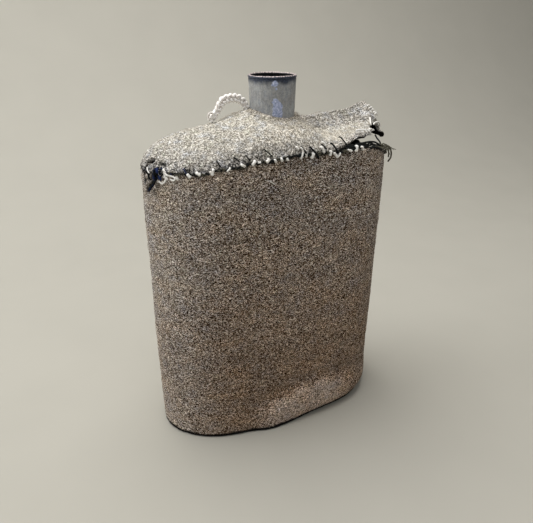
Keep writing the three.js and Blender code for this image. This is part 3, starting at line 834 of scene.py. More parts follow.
def chip_mask(ring, angles):
    """Where old blue enamel still clings: a small patch under the rim, a long ragged one down to the felt."""
    degrees = np.degrees(angles)[:, None]
    z = ring[..., 2]
    ragged = 0.9 * noise(ring, 1.7, SEED + 54) + 0.7 * noise(ring, 0.8, SEED + 55)
    upper = 3.0 - 3.0 * np.hypot((degrees - 251) / 8.5, (z - 210.6) / 1.5)
    widening = np.clip((203.5 - z) / 4.5, 0, 1)
    lower = 3.0 - 3.0 * np.abs(degrees - 250 - 9.0 * widening) / (4.0 + 8.5 * widening)
    lower = np.minimum(lower, 2.0 * (203.2 - z))
    crumb = 3.0 - 3.0 * np.hypot((degrees - 253.5) / 3.2, (z - 208.0) / 0.6)
    return smooth(-0.3, 0.3, np.maximum(np.maximum(upper, lower), crumb) + ragged)


# ---------------------------------------------------------------- threads and cord

def front_white_stitches(material):
    parts = [seam_stitch(radius, course, 0.15, 3) for radius, course in WHITE_STITCHES]
    make_threads("front_seam_white_stitches", parts, material, "front_seam_white_thread")


def front_dark_stitches(material):
    """The old black thread lies in the groove in uneven lengths, and a few stitches slant over the hem."""
    rng = np.random.default_rng(SEED + 1)
    parts = []
    x = -62.0
    while x < 28:
        length = rng.uniform(4, 8)
        line = []
        for here in np.linspace(x, x + length, 7):
            rise = front_groove(here) + 0.5 + rng.uniform(-0.45, 0.45)
            line.append(wall_point(here, float(seam_height(here)) + rise, rng.uniform(-0.6, 0.0)))
        radius = rng.uniform(0.46, 0.78) * (0.6 + 0.4 * smooth(-48, -30, x))
        parts.append(thread(line, 36, radius))
        x += length + rng.uniform(-2.2, 0.2)
    parts.extend(seam_stitch(radius, course, 0.5, 2) for radius, course in DARK_STITCHES)
    make_threads("front_seam_dark_stitches", parts, material, "front_seam_dark_thread")


def front_fringe(material):
    """Matted wool ends that stand out of the groove along the front seam, in tufts."""
    rng = np.random.default_rng(SEED + 8)
    parts = []
    for middle in rng.uniform(-66, 34, 30):
        for _ in range(rng.integers(2, 7)):
            x = middle + rng.normal(0, 0.9)
            rise = front_groove(x) + rng.normal(0.5, 0.45)
            heading = rng.normal(-0.6, 0.9)
            length = rng.uniform(0.9, 2.6)
            bend = rng.uniform(-0.6, 0.6)
            line = []
            for step in (-0.5, -0.2, 0.15, 0.5):
                turn = heading + bend * step
                along, up = length * step * math.cos(turn), length * step * math.sin(turn)
                line.append(seam_point(x + along, rise + up, 0.3 - 1.8 * abs(step) ** 1.5))
            parts.append(thread(line, 10, rng.uniform(0.12, 0.26), 6))
    make_threads("front_seam_fringe", parts, material)


def back_shoulder_stitches(rng, material):
    """Whip stitches along the shoulder seam at the back: each leans, and sinks into the felt at both ends."""
    course = [(0, -2.6, -0.9), (0.1, -2.0, 0.5), (0.5, 0.3, 0.8), (0.9, 1.4, 0.0), (1, 2.2, -2.4)]
    parts = []
    for x in np.arange(-60, 42, 6.4):
        here = x + rng.uniform(-0.8, 0.8)
        seam = float(seam_height(here))
        lean = rng.uniform(0.8, 2.4)
        line = []
        for share, rise, proud in course:
            line.append(wall_point(here + share * lean, seam + rise, proud, True))
        parts.append(thread(line, 16, 0.56, 10, 3, 2.6))
    make_threads("back_shoulder_stitches", parts, material, "back_shoulder_thread")


def back_seam_stitches(rng, material):
    """Whip stitches down the upright seam at the back."""
    parts = []
    for z in np.arange(9, SEAM_HEIGHT - 6, 7.2):
        here = z + rng.uniform(-0.7, 0.7)
        tilt = rng.uniform(1.0, 2.2)
        line = []
        for across, proud in [(-2.5, -1.2), (-2.0, 0.25), (0, 0.75), (2.0, 0.25), (2.5, -1.2)]:
            line.append(wall_point(across, here + tilt * across / 4, proud, True))
        parts.append(thread(taper(np.array(line)), 16, 0.5, 10, 3, 2.6))
    make_threads("back_seam_stitches", parts, material, "back_seam_thread")


def base_stitches(material):
    """Running stitches round the base, in the channel beside the wall panel."""
    parts = []
    for i in np.arange(0, ROUND, max(1, round(6.0 / GRAIN_STEP))):
        line = []
        for step in range(5):
            k = (i + round(step * 0.9 / GRAIN_STEP)) % ROUND
            sink = 0.5 if step in (0, 4) else 0.0
            ground = OUTLINE[k] - (FELT + 1.15) * OUTWARD[k]
            line.append([ground[0], ground[1], 0.55 + sink])
        parts.append(thread(taper(np.array(line)), 10, 0.3, twist=4.0))
    make_threads("base_seam_stitches", parts, material, "base_seam_thread")


def left_darning(material):
    """Dark thread darned over the head of the slit and across it, with strays up on the top panel."""
    rng = np.random.default_rng(SEED + 3)
    course = [(0, -0.5, -1.0), (0.3, -0.25, 0.5), (0.6, 0.25, 0.4), (1, 0.5, -1.6)]
    darn = []
    for _ in range(22):
        y = rng.uniform(-14.0, -9.0)
        z = rng.uniform(167.4, 173.0)
        reach = rng.uniform(1.6, 3.6)
        lean = rng.uniform(-1.8, 1.8)
        line = []
        for share, rise, proud in course:
            line.append(left_point(y + share * lean, z + rise * reach, proud))
        darn.append(thread(line, 12, rng.uniform(0.3, 0.46)))
    for share in np.linspace(0.25, 1, 8):
        _, y, z = curve_through(LEFT_SLIT, 60)[round(59 * share)]
        passes = [(y - 1.3, z + 0.7, -0.9), (y, z, -0.7), (y + 1.3, z - 0.5, -0.9)]
        darn.append(thread([left_point(*spot) for spot in passes], 10, 0.4))
    strays = [
        [(-73.4, 5.6, 171.3), (-74.2, 3.2, 170.0), (-74.4, 0.8, 168.4)],
        [(-64.6, -15.0, 173.6), (-64.6, -16.4, 171.8), (-64.2, -17.8, 169.8)],
        [(-58.9, -20.8, 174.0), (-58.6, -22.0, 172.9), (-58.0, -23.0, 171.6)],
    ]
    darn.extend(thread(stray, 14, 0.3) for stray in strays)
    make_threads("left_corner_darning", darn, material, "left_corner_darn")


def left_loops(material):
    """White loops at the left corner: one hooks down past the seam, one lies along it and turns back."""
    courses = [
        (0.5, [(-66.0, -12.4, 173.2), (-67.0, -13.2, 172.0), (-67.2, -14.4, 170.0), (-67.0, -15.8, 167.8),
               (-68.4, -14.4, 165.6), (-70.0, -12.8, 166.6)]),
        (0.46, [(-67.6, -14.0, 171.2), (-66.2, -16.2, 170.3), (-64.8, -17.8, 169.9), (-63.2, -19.4, 169.3),
                (-63.8, -19.2, 167.9), (-65.2, -17.8, 168.3)]),
        (0.42, [(-69.2, -12.0, 172.4), (-69.4, -13.0, 170.6), (-68.8, -14.0, 169.0)]),
        (0.34, [(-73.0, -3.0, 172.0), (-73.3, -4.6, 170.6), (-72.8, -6.2, 169.4)]),
        (0.50, [(-68.4, -12.6, 170.2), (-67.6, -14.0, 168.9), (-66.6, -15.6, 168.7), (-66.0, -16.2, 167.6)]),
        (0.42, [(-67.8, -13.6, 172.6), (-66.8, -14.8, 171.6), (-66.9, -15.0, 170.4), (-65.8, -16.2, 169.6)]),
        (0.74, [(-62.6, -19.6, 170.2), (-62.2, -20.0, 169.2), (-62.0, -20.4, 168.2)]),
    ]
    loops = [thread(line, 10 + 5 * len(line), radius, 10, 3, 2.8) for radius, line in courses]
    make_threads("left_corner_white_loops", loops, material, "left_corner_white_thread")


def rim_point(share, rise, proud):
    """A point over the wall's torn rim: share runs from 0 at the mouth's left end, by the right end, to 1."""
    start = int(np.argmin(np.abs(OUTLINE[:, 0] - 30) + np.where(OUTLINE[:, 1] < 0, 0, 1e6)))
    end = int(np.argmin(np.abs(OUTLINE[:, 1] - 22) + np.where(OUTLINE[:, 0] > 50, 0, 1e6)))
    k = round(start + share * (end - start)) % ROUND
    x, y = OUTLINE[k] + proud * OUTWARD[k]
    top = float(seam_height(OUTLINE[k, 0]) + groove_rise(OUTLINE[k, 0], OUTLINE[k, 1]))
    return np.array([x, y, top + rise])


def flap_overcasting(rng):
    """Overcast stitches along the flap's lower edge and up its end."""
    edge = curve_through(FREE_EDGE, 600)
    outbound = edge[: int(np.argmax(edge[:, 0])) + 1]
    towards = np.array([0.1, -1.0, 0.25])
    parts = []
    for x in (47.5, 51.5, 56.0, 60.6):
        here = np.array([np.interp(x, outbound[:, 0], outbound[:, k]) for k in range(3)])
        inward = unit(np.array([-0.5, 0.25, 1.0]) if x < 60 else np.array([-0.9, 0.3, 0.35]))
        across = rng.uniform(-0.6, 0.6, 3)
        line = [
            here - 0.2 * inward + [0, 1.2, -0.8], here - 0.9 * inward + 0.7 * towards,
            here + 0.8 * inward + 1.1 * towards + 0.3 * across,
            here + rng.uniform(1.8, 2.8) * inward + 0.2 * towards + across,
        ]
        parts.append(thread(line, 14, rng.uniform(0.30, 0.40), 10, 3, 2.8))
    return parts


def flap_loops():
    """A long white thread that lies along the flap's lower edge, and loops bound round its end."""
    towards = np.array([-0.27, -0.58, 0.29])
    courses = [
        (0.54, [(43.6, -19.0, 183.6), (46.8, -17.4, 183.4), (50.0, -16.0, 183.0), (53.4, -14.8, 182.4),
                (56.6, -13.2, 182.0), (59.6, -11.4, 182.0)]),
        (0.48, [(65.8, -0.6, 186.4), (65.0, -2.0, 185.8), (63.4, -4.4, 184.9), (61.2, -8.0, 184.4),
                (61.6, -8.4, 183.4)]),
        (0.50, [(65.6, -5.0, 183.0), (68.6, -1.6, 183.0), (72.0, 1.4, 182.7), (75.6, 4.2, 182.2),
                (78.6, 6.4, 180.6), (79.8, 7.8, 178.4)]),
        (0.80, [(70.6, 3.0, 186.6), (71.4, 3.2, 185.6), (72.0, 3.0, 184.6)]),
    ]
    return [thread(np.array(line) + towards, 12 * len(line), radius, 10, 3, 2.8) for radius, line in courses]


def flap_end_stitches():
    """Short stitches whipped over the flap's end, down from the ridge."""
    course = [(-1.6, -0.6, -0.4), (-0.7, -0.9, 0.7), (0.5, -0.9, 0.5), (1.5, -0.4, -1.0)]
    parts = []
    for x, y in [(70.2, 8.4), (71.4, 7.4), (72.2, 6.4), (72.9, 5.4), (73.2, 4.4)]:
        top = np.array([x, y, float(crown_height(x, y))])
        parts.append(thread(top + np.array(course), 14, 0.42, 10, 3, 2.8))
    return parts


def frayed_yarn(rng, material):
    """Dark yarn that frays along the torn rim, hangs in a tuft at the corner and strays out in curls."""
    threads = []
    for _ in range(54):
        share = rng.uniform(0.24, 0.86)
        length = rng.uniform(0.05, 0.13)
        rise = rng.uniform(-0.6, 0.9)
        line = []
        for step in np.linspace(0, 1, 6):
            wobble = rng.uniform(-0.35, 0.35)
            line.append(rim_point(share + length * step, rise + wobble, rng.uniform(-1.8, 0.1)))
        threads.append(thread(line, 20, rng.uniform(0.16, 0.34), 7))
    root = np.array([65.5, -15.0, float(seam_height(65.5)) + 0.6])
    for _ in range(34):
        heading = rng.uniform(-0.9, 0.6)
        reach = rng.uniform(3.0, 7.0)
        lift = rng.uniform(-0.4, 1.6)
        drop = rng.uniform(1.0, 5.0)
        start = root + np.array([rng.uniform(-7, 2), rng.uniform(-2.6, 2.6), rng.uniform(-0.6, 0.8)])
        line = []
        for step in np.linspace(0, 1, 6):
            out = reach * step
            up = lift * math.sin(math.pi * step) - drop * step**2
            line.append(start + np.array([out * math.cos(heading), out * math.sin(heading), up]))
        threads.append(thread(line, 18, rng.uniform(0.14, 0.3), 7))
    curls = [
        (0.55, [(64.5, -16, 172.4), (68.5, -14, 171.6), (73.0, -12, 170.3), (76.2, -11, 167.0),
                (76.4, -11, 163.4), (74.4, -11, 160.6)]),
        (0.46, [(66.0, -15, 172.0), (70.5, -14, 170.0), (72.8, -13, 167.4), (73.0, -13, 164.0)]),
        (0.30, [(64.0, -14, 172.4), (69.5, -12, 172.4), (73.8, -10, 170.6), (75.0, -10, 168.6)]),
    ]
    threads.extend(thread(line, 40, radius, 9, twist=2.4) for radius, line in curls)
    make_threads(
        "right_corner_frayed_yarn", threads, material, "right_corner_loose_thread"
    )


def broken_stitch(rng, material):
    """A broken dark stitch that stands up at the right corner, and dark strands that lie over the mouth."""
    upright = [(65.6, -15.2, 171.8), (66.2, -12.0, 174.0), (65.8, -9.4, 175.8), (65.0, -8.2, 177.8)]
    loose = [thread(upright, 22, 0.5)]
    courses = [
        (0.00, 0.40, 1.6, -1.8), (0.02, 0.30, 2.4, -2.4), (0.04, 0.34, 0.8, -1.2), (0.22, 0.52, 0.2, -0.2),
        (0.10, 0.62, 3.0, -2.6), (0.44, 0.78, -0.2, 0.6),
    ]
    for start, end, rise, proud in courses:
        line = []
        for share in np.linspace(start, end, 8):
            line.append(rim_point(share, rise + rng.uniform(-0.4, 0.4), proud + rng.uniform(-0.3, 0.3)))
        loose.append(thread(line, 70, 0.55))
    make_threads(
        "right_corner_broken_stitch", loose, material, "right_corner_upright_thread"
    )


def right_corner(dark, white, frayed):
    """The torn corner's stitches and frayed yarn, drawn one after another from one random source."""
    rng = np.random.default_rng(SEED + 4)
    whips = flap_overcasting(rng) + flap_loops() + flap_end_stitches()
    make_threads("right_flap_stitches", whips, white, "right_flap_thread")
    frayed_yarn(rng, frayed)
    broken_stitch(rng, dark)


# The cord's centre line, from its outer foot in the felt, over, and down beside the neck
CORD_LINE = [
    (-34.2, 7.2, 190.6), (-32.7, 7.0, 192.4), (-31.0, 6.8, 194.6), (-29.3, 6.6, 197.0), (-28.0, 6.4, 199.6),
    (-26.2, 6.2, 201.5), (-23.6, 6.0, 202.2), (-21.0, 5.8, 202.3), (-18.2, 5.6, 202.0), (-15.8, 5.4, 200.4),
    (-14.5, 5.2, 198.6), (-13.5, 5.0, 196.8), (-13.1, 4.9, 195.2),
]


def cord_strand(which):
    """One of the plait's three strands: it weaves from side to side, and in and out twice as often."""
    count = 150
    line = curve_through(CORD_LINE, count)
    tangents = unit(np.gradient(line, axis=0))
    away = unit(np.cross(line[-1] - line[0], [0.0, 0.0, 1.0]))
    outward = unit(np.cross(tangents, away))
    phase = 2 * math.pi * (4.2 * np.linspace(0, 1, count) + which / 3)
    fullness = (0.76 + 0.52 * hump(np.linspace(0, 1, count), 0.62, 0.3))[:, None]
    offset = 1.3 * np.sin(phase)[:, None] * outward + 0.9 * np.sin(2 * phase)[:, None] * away
    return tube(line + fullness * offset, 0.92, 14, plies=3, twist=1.5, groove=0.24)


def cord_eye():
    """The cord's outer end, doubled back into a small eye."""
    centre = np.array([-33.9, 6.0, 193.6])
    eye = []
    for turn in np.radians(np.linspace(-60, 250, 12)):
        eye.append(centre + np.array([1.5 * math.cos(turn), -0.5 * math.sin(turn), 1.8 * math.sin(turn)]))
    return thread(eye, 44, 0.6, 12, 3, 1.7, 0.2)


def cord_binding(share):
    """Three turns of thin thread bound round the plait, at a share of its length."""
    line = curve_through(CORD_LINE, 100)
    k = round(share * 99)
    tangent = unit(line[k + 1] - line[k - 1])
    side = unit(np.cross(tangent, [0.0, 1.0, 0.0]))
    forward = np.cross(tangent, side)
    turns = []
    for step in np.linspace(0, 1, 40):
        angle = 2 * math.pi * 3 * step
        across = 1.8 * math.cos(angle) * side
        turns.append(line[k] + across + 1.45 * math.sin(angle) * forward + (step - 0.5) * 1.5 * tangent)
    return tube(np.array(turns), 0.34, 8, plies=2, twist=4.0)


def cord(material):
    """The plaited cord loop, which swings about its two feet."""
    for which, letter in enumerate("abc"):
        strand = [cord_strand(which)]
        make_threads(f"cord_plait_{letter}", strand, material, f"cord_strand_{letter}", "cord")
    make_threads("cord_outer_eye", [cord_eye()], material, "cord_eye", "cord")
    for place, share in (("outer", 0.1), ("neck", 0.87)):
        name, node = f"cord_{place}_binding", f"cord_{place}_whipping"
        make_threads(name, [cord_binding(share)], material, node, "cord")


def lint(material):
    """A scrap of pale lint that has caught on the front."""
    line = [wall_point(x, z, 0.35) for x, z in [(-19, 165.9), (-16.6, 165.4), (-15.2, 164.2), (-13.8, 163.4)]]
    make_threads("felt_lint", [thread(line, 20, 0.22, 6, twist=4.0)], material)


def fuzz(surface, count, name, material, seed, lowest_normal):
    """Short wool fibres that stand off a felt panel, clear of the floor and of the cord's swing."""
    rng = np.random.default_rng(seed)
    mesh = surface.data

    def read(source, key, width):
        values = np.zeros(len(mesh.vertices) * width, np.float32)
        source.foreach_get(key, values)
        return values.reshape(-1, width)

    places = read(mesh.vertices, "co", 3) / MM
    normals = read(mesh.vertices, "normal", 3)
    hidden = read(mesh.attributes["hidden"].data, "value", 1)[:, 0]
    clear = (places[:, 2] > 3.0) & (near_line(places, CORD_LINE) > 4.5)
    allowed = np.flatnonzero((hidden < 0.5) & (normals[:, 2] > lowest_normal) & clear)
    parts = []
    for k in rng.choice(allowed, count, replace=False):
        normal = unit(normals[k])
        heading = unit(np.cross(normal, rng.normal(size=3)))
        turn = unit(np.cross(normal, heading))
        length = rng.uniform(1.0, 2.6)
        lift = rng.uniform(0.15, 0.6)
        bend = rng.uniform(-0.7, 0.7) * length
        line = []
        for step in (0.0, 0.35, 0.7, 1.0):
            line.append(
                places[k] + heading * length * step + turn * bend * step * step
                + normal * (lift * math.sin(math.pi * min(1.0, 0.15 + 0.75 * step)) - 0.05)
            )
        parts.append(tube(np.array(line), rng.uniform(0.045, 0.08), 3, round_ends=False))
    make_threads(name, parts, material)


# ---------------------------------------------------------------- materials

class Nodes:
    """A material's node tree, with short calls to add nodes and link them."""

    def __init__(self, name):
        self.material = bpy.data.materials.new(name)
        self.material.use_nodes = True
        self.tree = self.material.node_tree
        self.tree.nodes.clear()
        self.out = self.add("ShaderNodeOutputMaterial")
        self.surface = self.add("ShaderNodeBsdfPrincipled")
        self.link(self.surface.outputs["BSDF"], self.out.inputs["Surface"])
        self.place = self.add("ShaderNodeTexCoord").outputs["Object"]

    def add(self, kind, **values):
        node = self.tree.nodes.new(kind)
        for key, value in values.items():
            setattr(node, key, value)
        return node

    def link(self, source, target):
        self.tree.links.new(source, target)

    def feed(self, value, socket):
        """Link a socket to the value, or set it: a tuple is a colour."""
        if isinstance(value, bpy.types.NodeSocket):
            self.link(value, socket)
        else:
            socket.default_value = (*value, 1.0) if isinstance(value, tuple) else value

    def squeeze(self, factor):
        """Scale every pattern that is added after this along Z."""
        node = self.add("ShaderNodeMapping")
        node.inputs["Scale"].default_value = (1.0, 1.0, factor)
        self.link(self.place, node.inputs["Vector"])
        self.place = node.outputs["Vector"]

    def noise(self, size_mm, detail=2.0, roughness=0.55, distortion=0.0):
        node = self.add("ShaderNodeTexNoise")
        node.inputs["Scale"].default_value = 1.0 / (size_mm * MM)
        node.inputs["Detail"].default_value = detail
        node.inputs["Roughness"].default_value = roughness
        node.inputs["Distortion"].default_value = distortion
        self.link(self.place, node.inputs["Vector"])
        return node.outputs["Fac"]

    def ramp(self, value, stops):
        node = self.add("ShaderNodeValToRGB")
        ramp = node.color_ramp
        while len(ramp.elements) < len(stops):
            ramp.elements.new(0.5)
        for element, (place, colour) in zip(ramp.elements, stops):
            element.position = place
            shade = colour if isinstance(colour, tuple) else (colour, colour, colour)
            element.color = (*shade, 1.0)
        self.link(value, node.inputs["Fac"])
        return node.outputs["Color"]

    def mix(self, share, first, second, blend="MIX"):
        node = self.add("ShaderNodeMix", data_type="RGBA", blend_type=blend)
        self.feed(share, node.inputs[0])
        self.feed(first, node.inputs[6])
        self.feed(second, node.inputs[7])
        return node.outputs[2]

    def maths(self, operation, first, second=0.0):
        node = self.add("ShaderNodeMath", operation=operation)
        self.feed(first, node.inputs[0])
        self.feed(second, node.inputs[1])
        return node.outputs[0]

    def attribute(self, name):
        return self.add("ShaderNodeAttribute", attribute_name=name).outputs["Fac"]

    def bump(self, height, strength, distance_mm):
        node = self.add("ShaderNodeBump")
        node.inputs["Strength"].default_value = strength
        node.inputs["Distance"].default_value = distance_mm * MM
        self.link(height, node.inputs["Height"])
        self.link(node.outputs["Normal"], self.surface.inputs["Normal"])

    def finish(self, colour, roughness, metallic=0.0, specular=0.5):
        self.feed(colour, self.surface.inputs["Base Color"])
        self.feed(roughness, self.surface.inputs["Roughness"])
        self.surface.inputs["Specular IOR Level"].default_value = specular
        self.surface.inputs["Metallic"].default_value = metallic
        return self.material


def felt_grain(nodes, flatten):
    """Curly wool: thin pale fibres that wander over a dark, matted ground.

    flatten squeezes the pattern along Z, so that the curls lie level on an upright panel.
    """
    nodes.squeeze(flatten)
    curls = nodes.noise(1.5, 0.0, 0.5, 0.7)
    cross = nodes.noise(1.15, 0.0, 0.5, 1.0)
    body = nodes.noise(0.8, 1.0, 0.45, 0.4)
    ridges = []
    for field, middle, sharpness in ((curls, 0.5, 8.0), (cross, 0.46, 9.0)):
        away = nodes.maths("ABSOLUTE", nodes.maths("SUBTRACT", field, middle))
        ridges.append(nodes.maths("SUBTRACT", 1.0, nodes.maths("MULTIPLY", away, sharpness)))
    fibres = nodes.maths("MAXIMUM", nodes.maths("MAXIMUM", ridges[0], ridges[1]), 0.0)
    broken = nodes.maths("MULTIPLY", fibres, nodes.maths("MULTIPLY", body, 1.5))
    return nodes.maths("ADD", nodes.maths("MULTIPLY", broken, 0.5), nodes.maths("MULTIPLY", body, 0.5))


def wool_colours(nodes):
    """Slow drifts of hue: bluish, rusty and olive wool, all of one brightness."""
    drift = nodes.noise(5.5, 3.0, 0.7)
    return nodes.ramp(drift, [
        (0.34, (0.88, 0.96, 1.16)), (0.45, (1.0, 1.0, 1.0)), (0.56, (1.05, 0.98, 0.90)),
        (0.68, (0.95, 1.0, 0.86)),
    ])


# Near-black for soil and for painted shade
BLACK_SOIL_AND_SHADE = (0.003, 0.003, 0.003)
# Painted shade for the felt's insides and underside
INSIDE_SHADE = (0.005, 0.004, 0.004)


def wall_felt_material():
    """Brown wool, ruddy low down, faded at the left and over the bulge with painted highlights there, black
    where it is soiled and where painted shade lies.
    """
    nodes = Nodes("wall_felt")
    drift = wool_colours(nodes)
    grain = felt_grain(nodes, 1.9)
    brown = nodes.ramp(grain, [
        (0.24, (0.007, 0.003, 0.001)), (0.36, (0.058, 0.032, 0.017)), (0.46, (0.182, 0.124, 0.083)),
        (0.58, (0.54, 0.455, 0.385)), (0.68, (1.0, 0.97, 0.93)),
    ])
    faded = nodes.ramp(grain, [
        (0.24, (0.045, 0.033, 0.024)), (0.36, (0.150, 0.122, 0.094)), (0.46, (0.31, 0.268, 0.222)),
        (0.58, (0.60, 0.545, 0.49)), (0.70, (0.96, 0.93, 0.89)),
    ])
    # Faded wool, with painted highlights at the left and over the bulge
    colour = nodes.mix(nodes.attribute("faded_and_highlight"), brown, faded)
    # The ruddy multiply also lays painted shade in the crease above the bulge
    colour = nodes.mix(nodes.attribute("ruddy"), colour, (0.80, 0.69, 0.59), "MULTIPLY")
    colour = nodes.mix(0.4, colour, drift, "MULTIPLY")
    blotches = nodes.ramp(nodes.noise(24.0, 2.0, 0.6), [
        (0.35, (0.82, 0.84, 0.88)), (0.5, (1.0, 1.0, 1.0)), (0.65, (1.10, 1.04, 0.96)),
    ])
    colour = nodes.mix(0.8, colour, blotches, "MULTIPLY")
    # Painted highlight: the pale multiply lightens the bulge's shaded felt
    colour = nodes.mix(nodes.attribute("pale"), colour, (1.34, 1.30, 1.32), "MULTIPLY")
    # Black for soil and for painted shade in the seam groove, slit, creases, torn mouth and along the floor
    colour = nodes.mix(nodes.attribute("soil_and_shade"), colour, BLACK_SOIL_AND_SHADE)
    # Painted shade: the inside is near-black
    colour = nodes.mix(nodes.attribute("hidden"), colour, INSIDE_SHADE)
    nodes.bump(grain, 0.6, 0.4)
    return nodes.finish(colour, 0.95, specular=0.08)


def top_felt_material():
    """Sun-faded wool, greyer and darker along the front hem, grey as painted shade behind the fold, brown
    round the neck.
    """
    nodes = Nodes("top_felt")
    drift = wool_colours(nodes)
    grain = felt_grain(nodes, 1.2)
    faded = nodes.ramp(grain, [
        (0.24, (0.20, 0.188, 0.162)), (0.36, (0.33, 0.313, 0.270)), (0.46, (0.465, 0.440, 0.385)),
        (0.58, (0.60, 0.58, 0.525)), (0.70, (0.75, 0.73, 0.68)),
    ])
    dark_grey = nodes.ramp(grain, [
        (0.24, (0.015, 0.015, 0.016)), (0.36, (0.10, 0.095, 0.092)), (0.46, (0.24, 0.225, 0.215)),
        (0.58, (0.46, 0.44, 0.42)), (0.70, (0.80, 0.79, 0.77)),
    ])
    brown = nodes.ramp(grain, [
        (0.24, (0.022, 0.016, 0.011)), (0.36, (0.10, 0.075, 0.052)), (0.46, (0.25, 0.20, 0.15)),
        (0.58, (0.48, 0.41, 0.33)), (0.70, (0.82, 0.76, 0.67)),
    ])
    # Grey along the front hem, and painted shade behind the fold
    colour = nodes.mix(nodes.attribute("grey"), faded, dark_grey)
    colour = nodes.mix(nodes.attribute("brown"), colour, brown)
    # Painted light from the pale attribute
    colour = nodes.mix(nodes.attribute("pale"), colour, (1.32, 1.30, 1.28), "MULTIPLY")
    colour = nodes.mix(0.45, colour, drift, "MULTIPLY")
    # Black for soil and for painted shade in the seam groove, creases and torn mouth
    colour = nodes.mix(nodes.attribute("soil_and_shade"), colour, BLACK_SOIL_AND_SHADE)
    # Painted shade: the underside is near-black
    colour = nodes.mix(nodes.attribute("hidden"), colour, INSIDE_SHADE)
    nodes.bump(grain, 0.5, 0.4)
    return nodes.finish(colour, 0.95, specular=0.08)


def thread_material(name, light, dark, soil_and_shade):
    """Twisted cotton: fine fibres, and soil in patches."""
    nodes = Nodes(name)
    fibres = nodes.noise(0.25, 2.0, 0.6, 0.4)
    shade = nodes.ramp(fibres, [(0.3, dark), (0.6, light)])
    soiled = nodes.ramp(nodes.noise(2.2, 2.0, 0.6), [(0.48, 0.0), (0.68, 1.0)])
    colour = nodes.mix(nodes.maths("MULTIPLY", soiled, 0.55), shade, soil_and_shade)
    nodes.bump(fibres, 0.4, 0.15)
    return nodes.finish(colour, 0.9, specular=0.15)


def dark_thread_material(name, wear_and_highlight):
    """Black sewing thread that shows navy where it is least worn."""
    nodes = Nodes(name)
    fibres = nodes.noise(0.25, 2.0, 0.6, 0.4)
    black = nodes.ramp(fibres, [(0.3, (0.002, 0.002, 0.002)), (0.65, (0.012, 0.014, 0.014))])
    navy = nodes.ramp(fibres, [(0.3, (0.006, 0.010, 0.030)), (0.65, (0.028, 0.046, 0.150))])
    patches = nodes.ramp(nodes.noise(3.4, 2.0, 0.6), [(wear_and_highlight, 0.0), (wear_and_highlight + 0.08, 1.0)])
    colour = nodes.mix(patches, black, navy)
    nodes.bump(fibres, 0.4, 0.15)
    return nodes.finish(colour, 0.9, specular=0.15)


def neck_material():
    """Weathered grey enamel with a navy rim, a painted highlight along the rim's crest, blue chips and a bore
    painted near-black as painted shade.
    """
    nodes = Nodes("enamelled_steel")
    speckle = nodes.noise(0.9, 3.0, 0.65)
    blotch = nodes.noise(5.0, 2.0, 0.6)
    nodes.squeeze(0.3)
    streaks = nodes.noise(1.1, 3.0, 0.6)
    grey = nodes.ramp(streaks, [
        (0.32, (0.262, 0.278, 0.305)), (0.48, (0.320, 0.332, 0.348)), (0.60, (0.375, 0.383, 0.390)),
        (0.74, (0.45, 0.455, 0.455)),
    ])
    grey = nodes.mix(0.35, grey, nodes.ramp(speckle, [(0.35, 0.45), (0.6, 1.4)]), "MULTIPLY")
    stain = nodes.ramp(blotch, [(0.4, 0.0), (0.65, 1.0)])
    colour = nodes.mix(nodes.maths("MULTIPLY", stain, 0.40), grey, (0.235, 0.220, 0.190))
    chips = nodes.ramp(speckle, [
        (0.35, (0.25, 0.30, 0.47)), (0.55, (0.45, 0.51, 0.72)), (0.66, (0.74, 0.76, 0.90)),
    ])
    navy = nodes.ramp(speckle, [(0.4, (0.010, 0.016, 0.034)), (0.75, (0.060, 0.078, 0.125))])
    colour = nodes.mix(nodes.attribute("band"), colour, navy)
    colour = nodes.mix(nodes.attribute("chips"), colour, chips)
    # Painted shade: the bore is near-black
    colour = nodes.mix(nodes.attribute("inner"), colour, (0.012, 0.012, 0.014))
    # Painted highlight: pinkish white along the rim's crest, broken by speckle
    wear_and_highlight = nodes.maths("MULTIPLY", nodes.attribute("rim_highlight"), nodes.ramp(speckle, [(0.42, 0.0), (0.52, 1.0)]))
    colour = nodes.mix(wear_and_highlight, colour, (0.60, 0.50, 0.48))
    roughness = nodes.ramp(speckle, [(0.3, 0.62), (0.7, 0.42)])
    nodes.bump(speckle, 0.3, 0.15)
    return nodes.finish(colour, roughness, metallic=0.15)


def hidden_steel_material():
    """Near-black enamel, seen only through the open mouth of the cover: dark enamel taken near-black as
    painted shade for the mouth.
    """
    nodes = Nodes("black_enamel_and_shade")
    speckle = nodes.noise(1.6, 3.0, 0.6)
    colour = nodes.ramp(speckle, [(0.4, (0.004, 0.004, 0.005)), (0.8, (0.022, 0.019, 0.016))])
    nodes.bump(speckle, 0.2, 0.2)
    return nodes.finish(colour, 0.5)


# ---------------------------------------------------------------- stage, light and camera

def stage(colour):
    """A pale floor that sweeps up into a backdrop behind the bottle."""
    bend, reach, height, half = 0.5, 0.75, 1.8, 2.4
    profile = [(-2.2, 0.0), (reach - bend, 0.0)]
    for angle in np.radians(np.linspace(0, 90, 25)[1:]):
        profile.append((reach - bend + bend * math.sin(angle), bend - bend * math.cos(angle)))
    profile.append((reach, height))
    points = [(x, y, z) for x in (-half, half) for y, z in profile]
    count = len(profile)
    faces = [[k, count + k, count + k + 1, k + 1] for k in range(count - 1)]
    nodes = Nodes("studio_floor")
    tint = nodes.ramp(nodes.noise(60.0, 2.0, 0.5), [(0.3, tuple(0.97 * c for c in colour)), (0.7, colour)])
    link_object("studio_floor", smooth_mesh("studio_floor", points, faces, nodes.finish(tint, 0.9)))


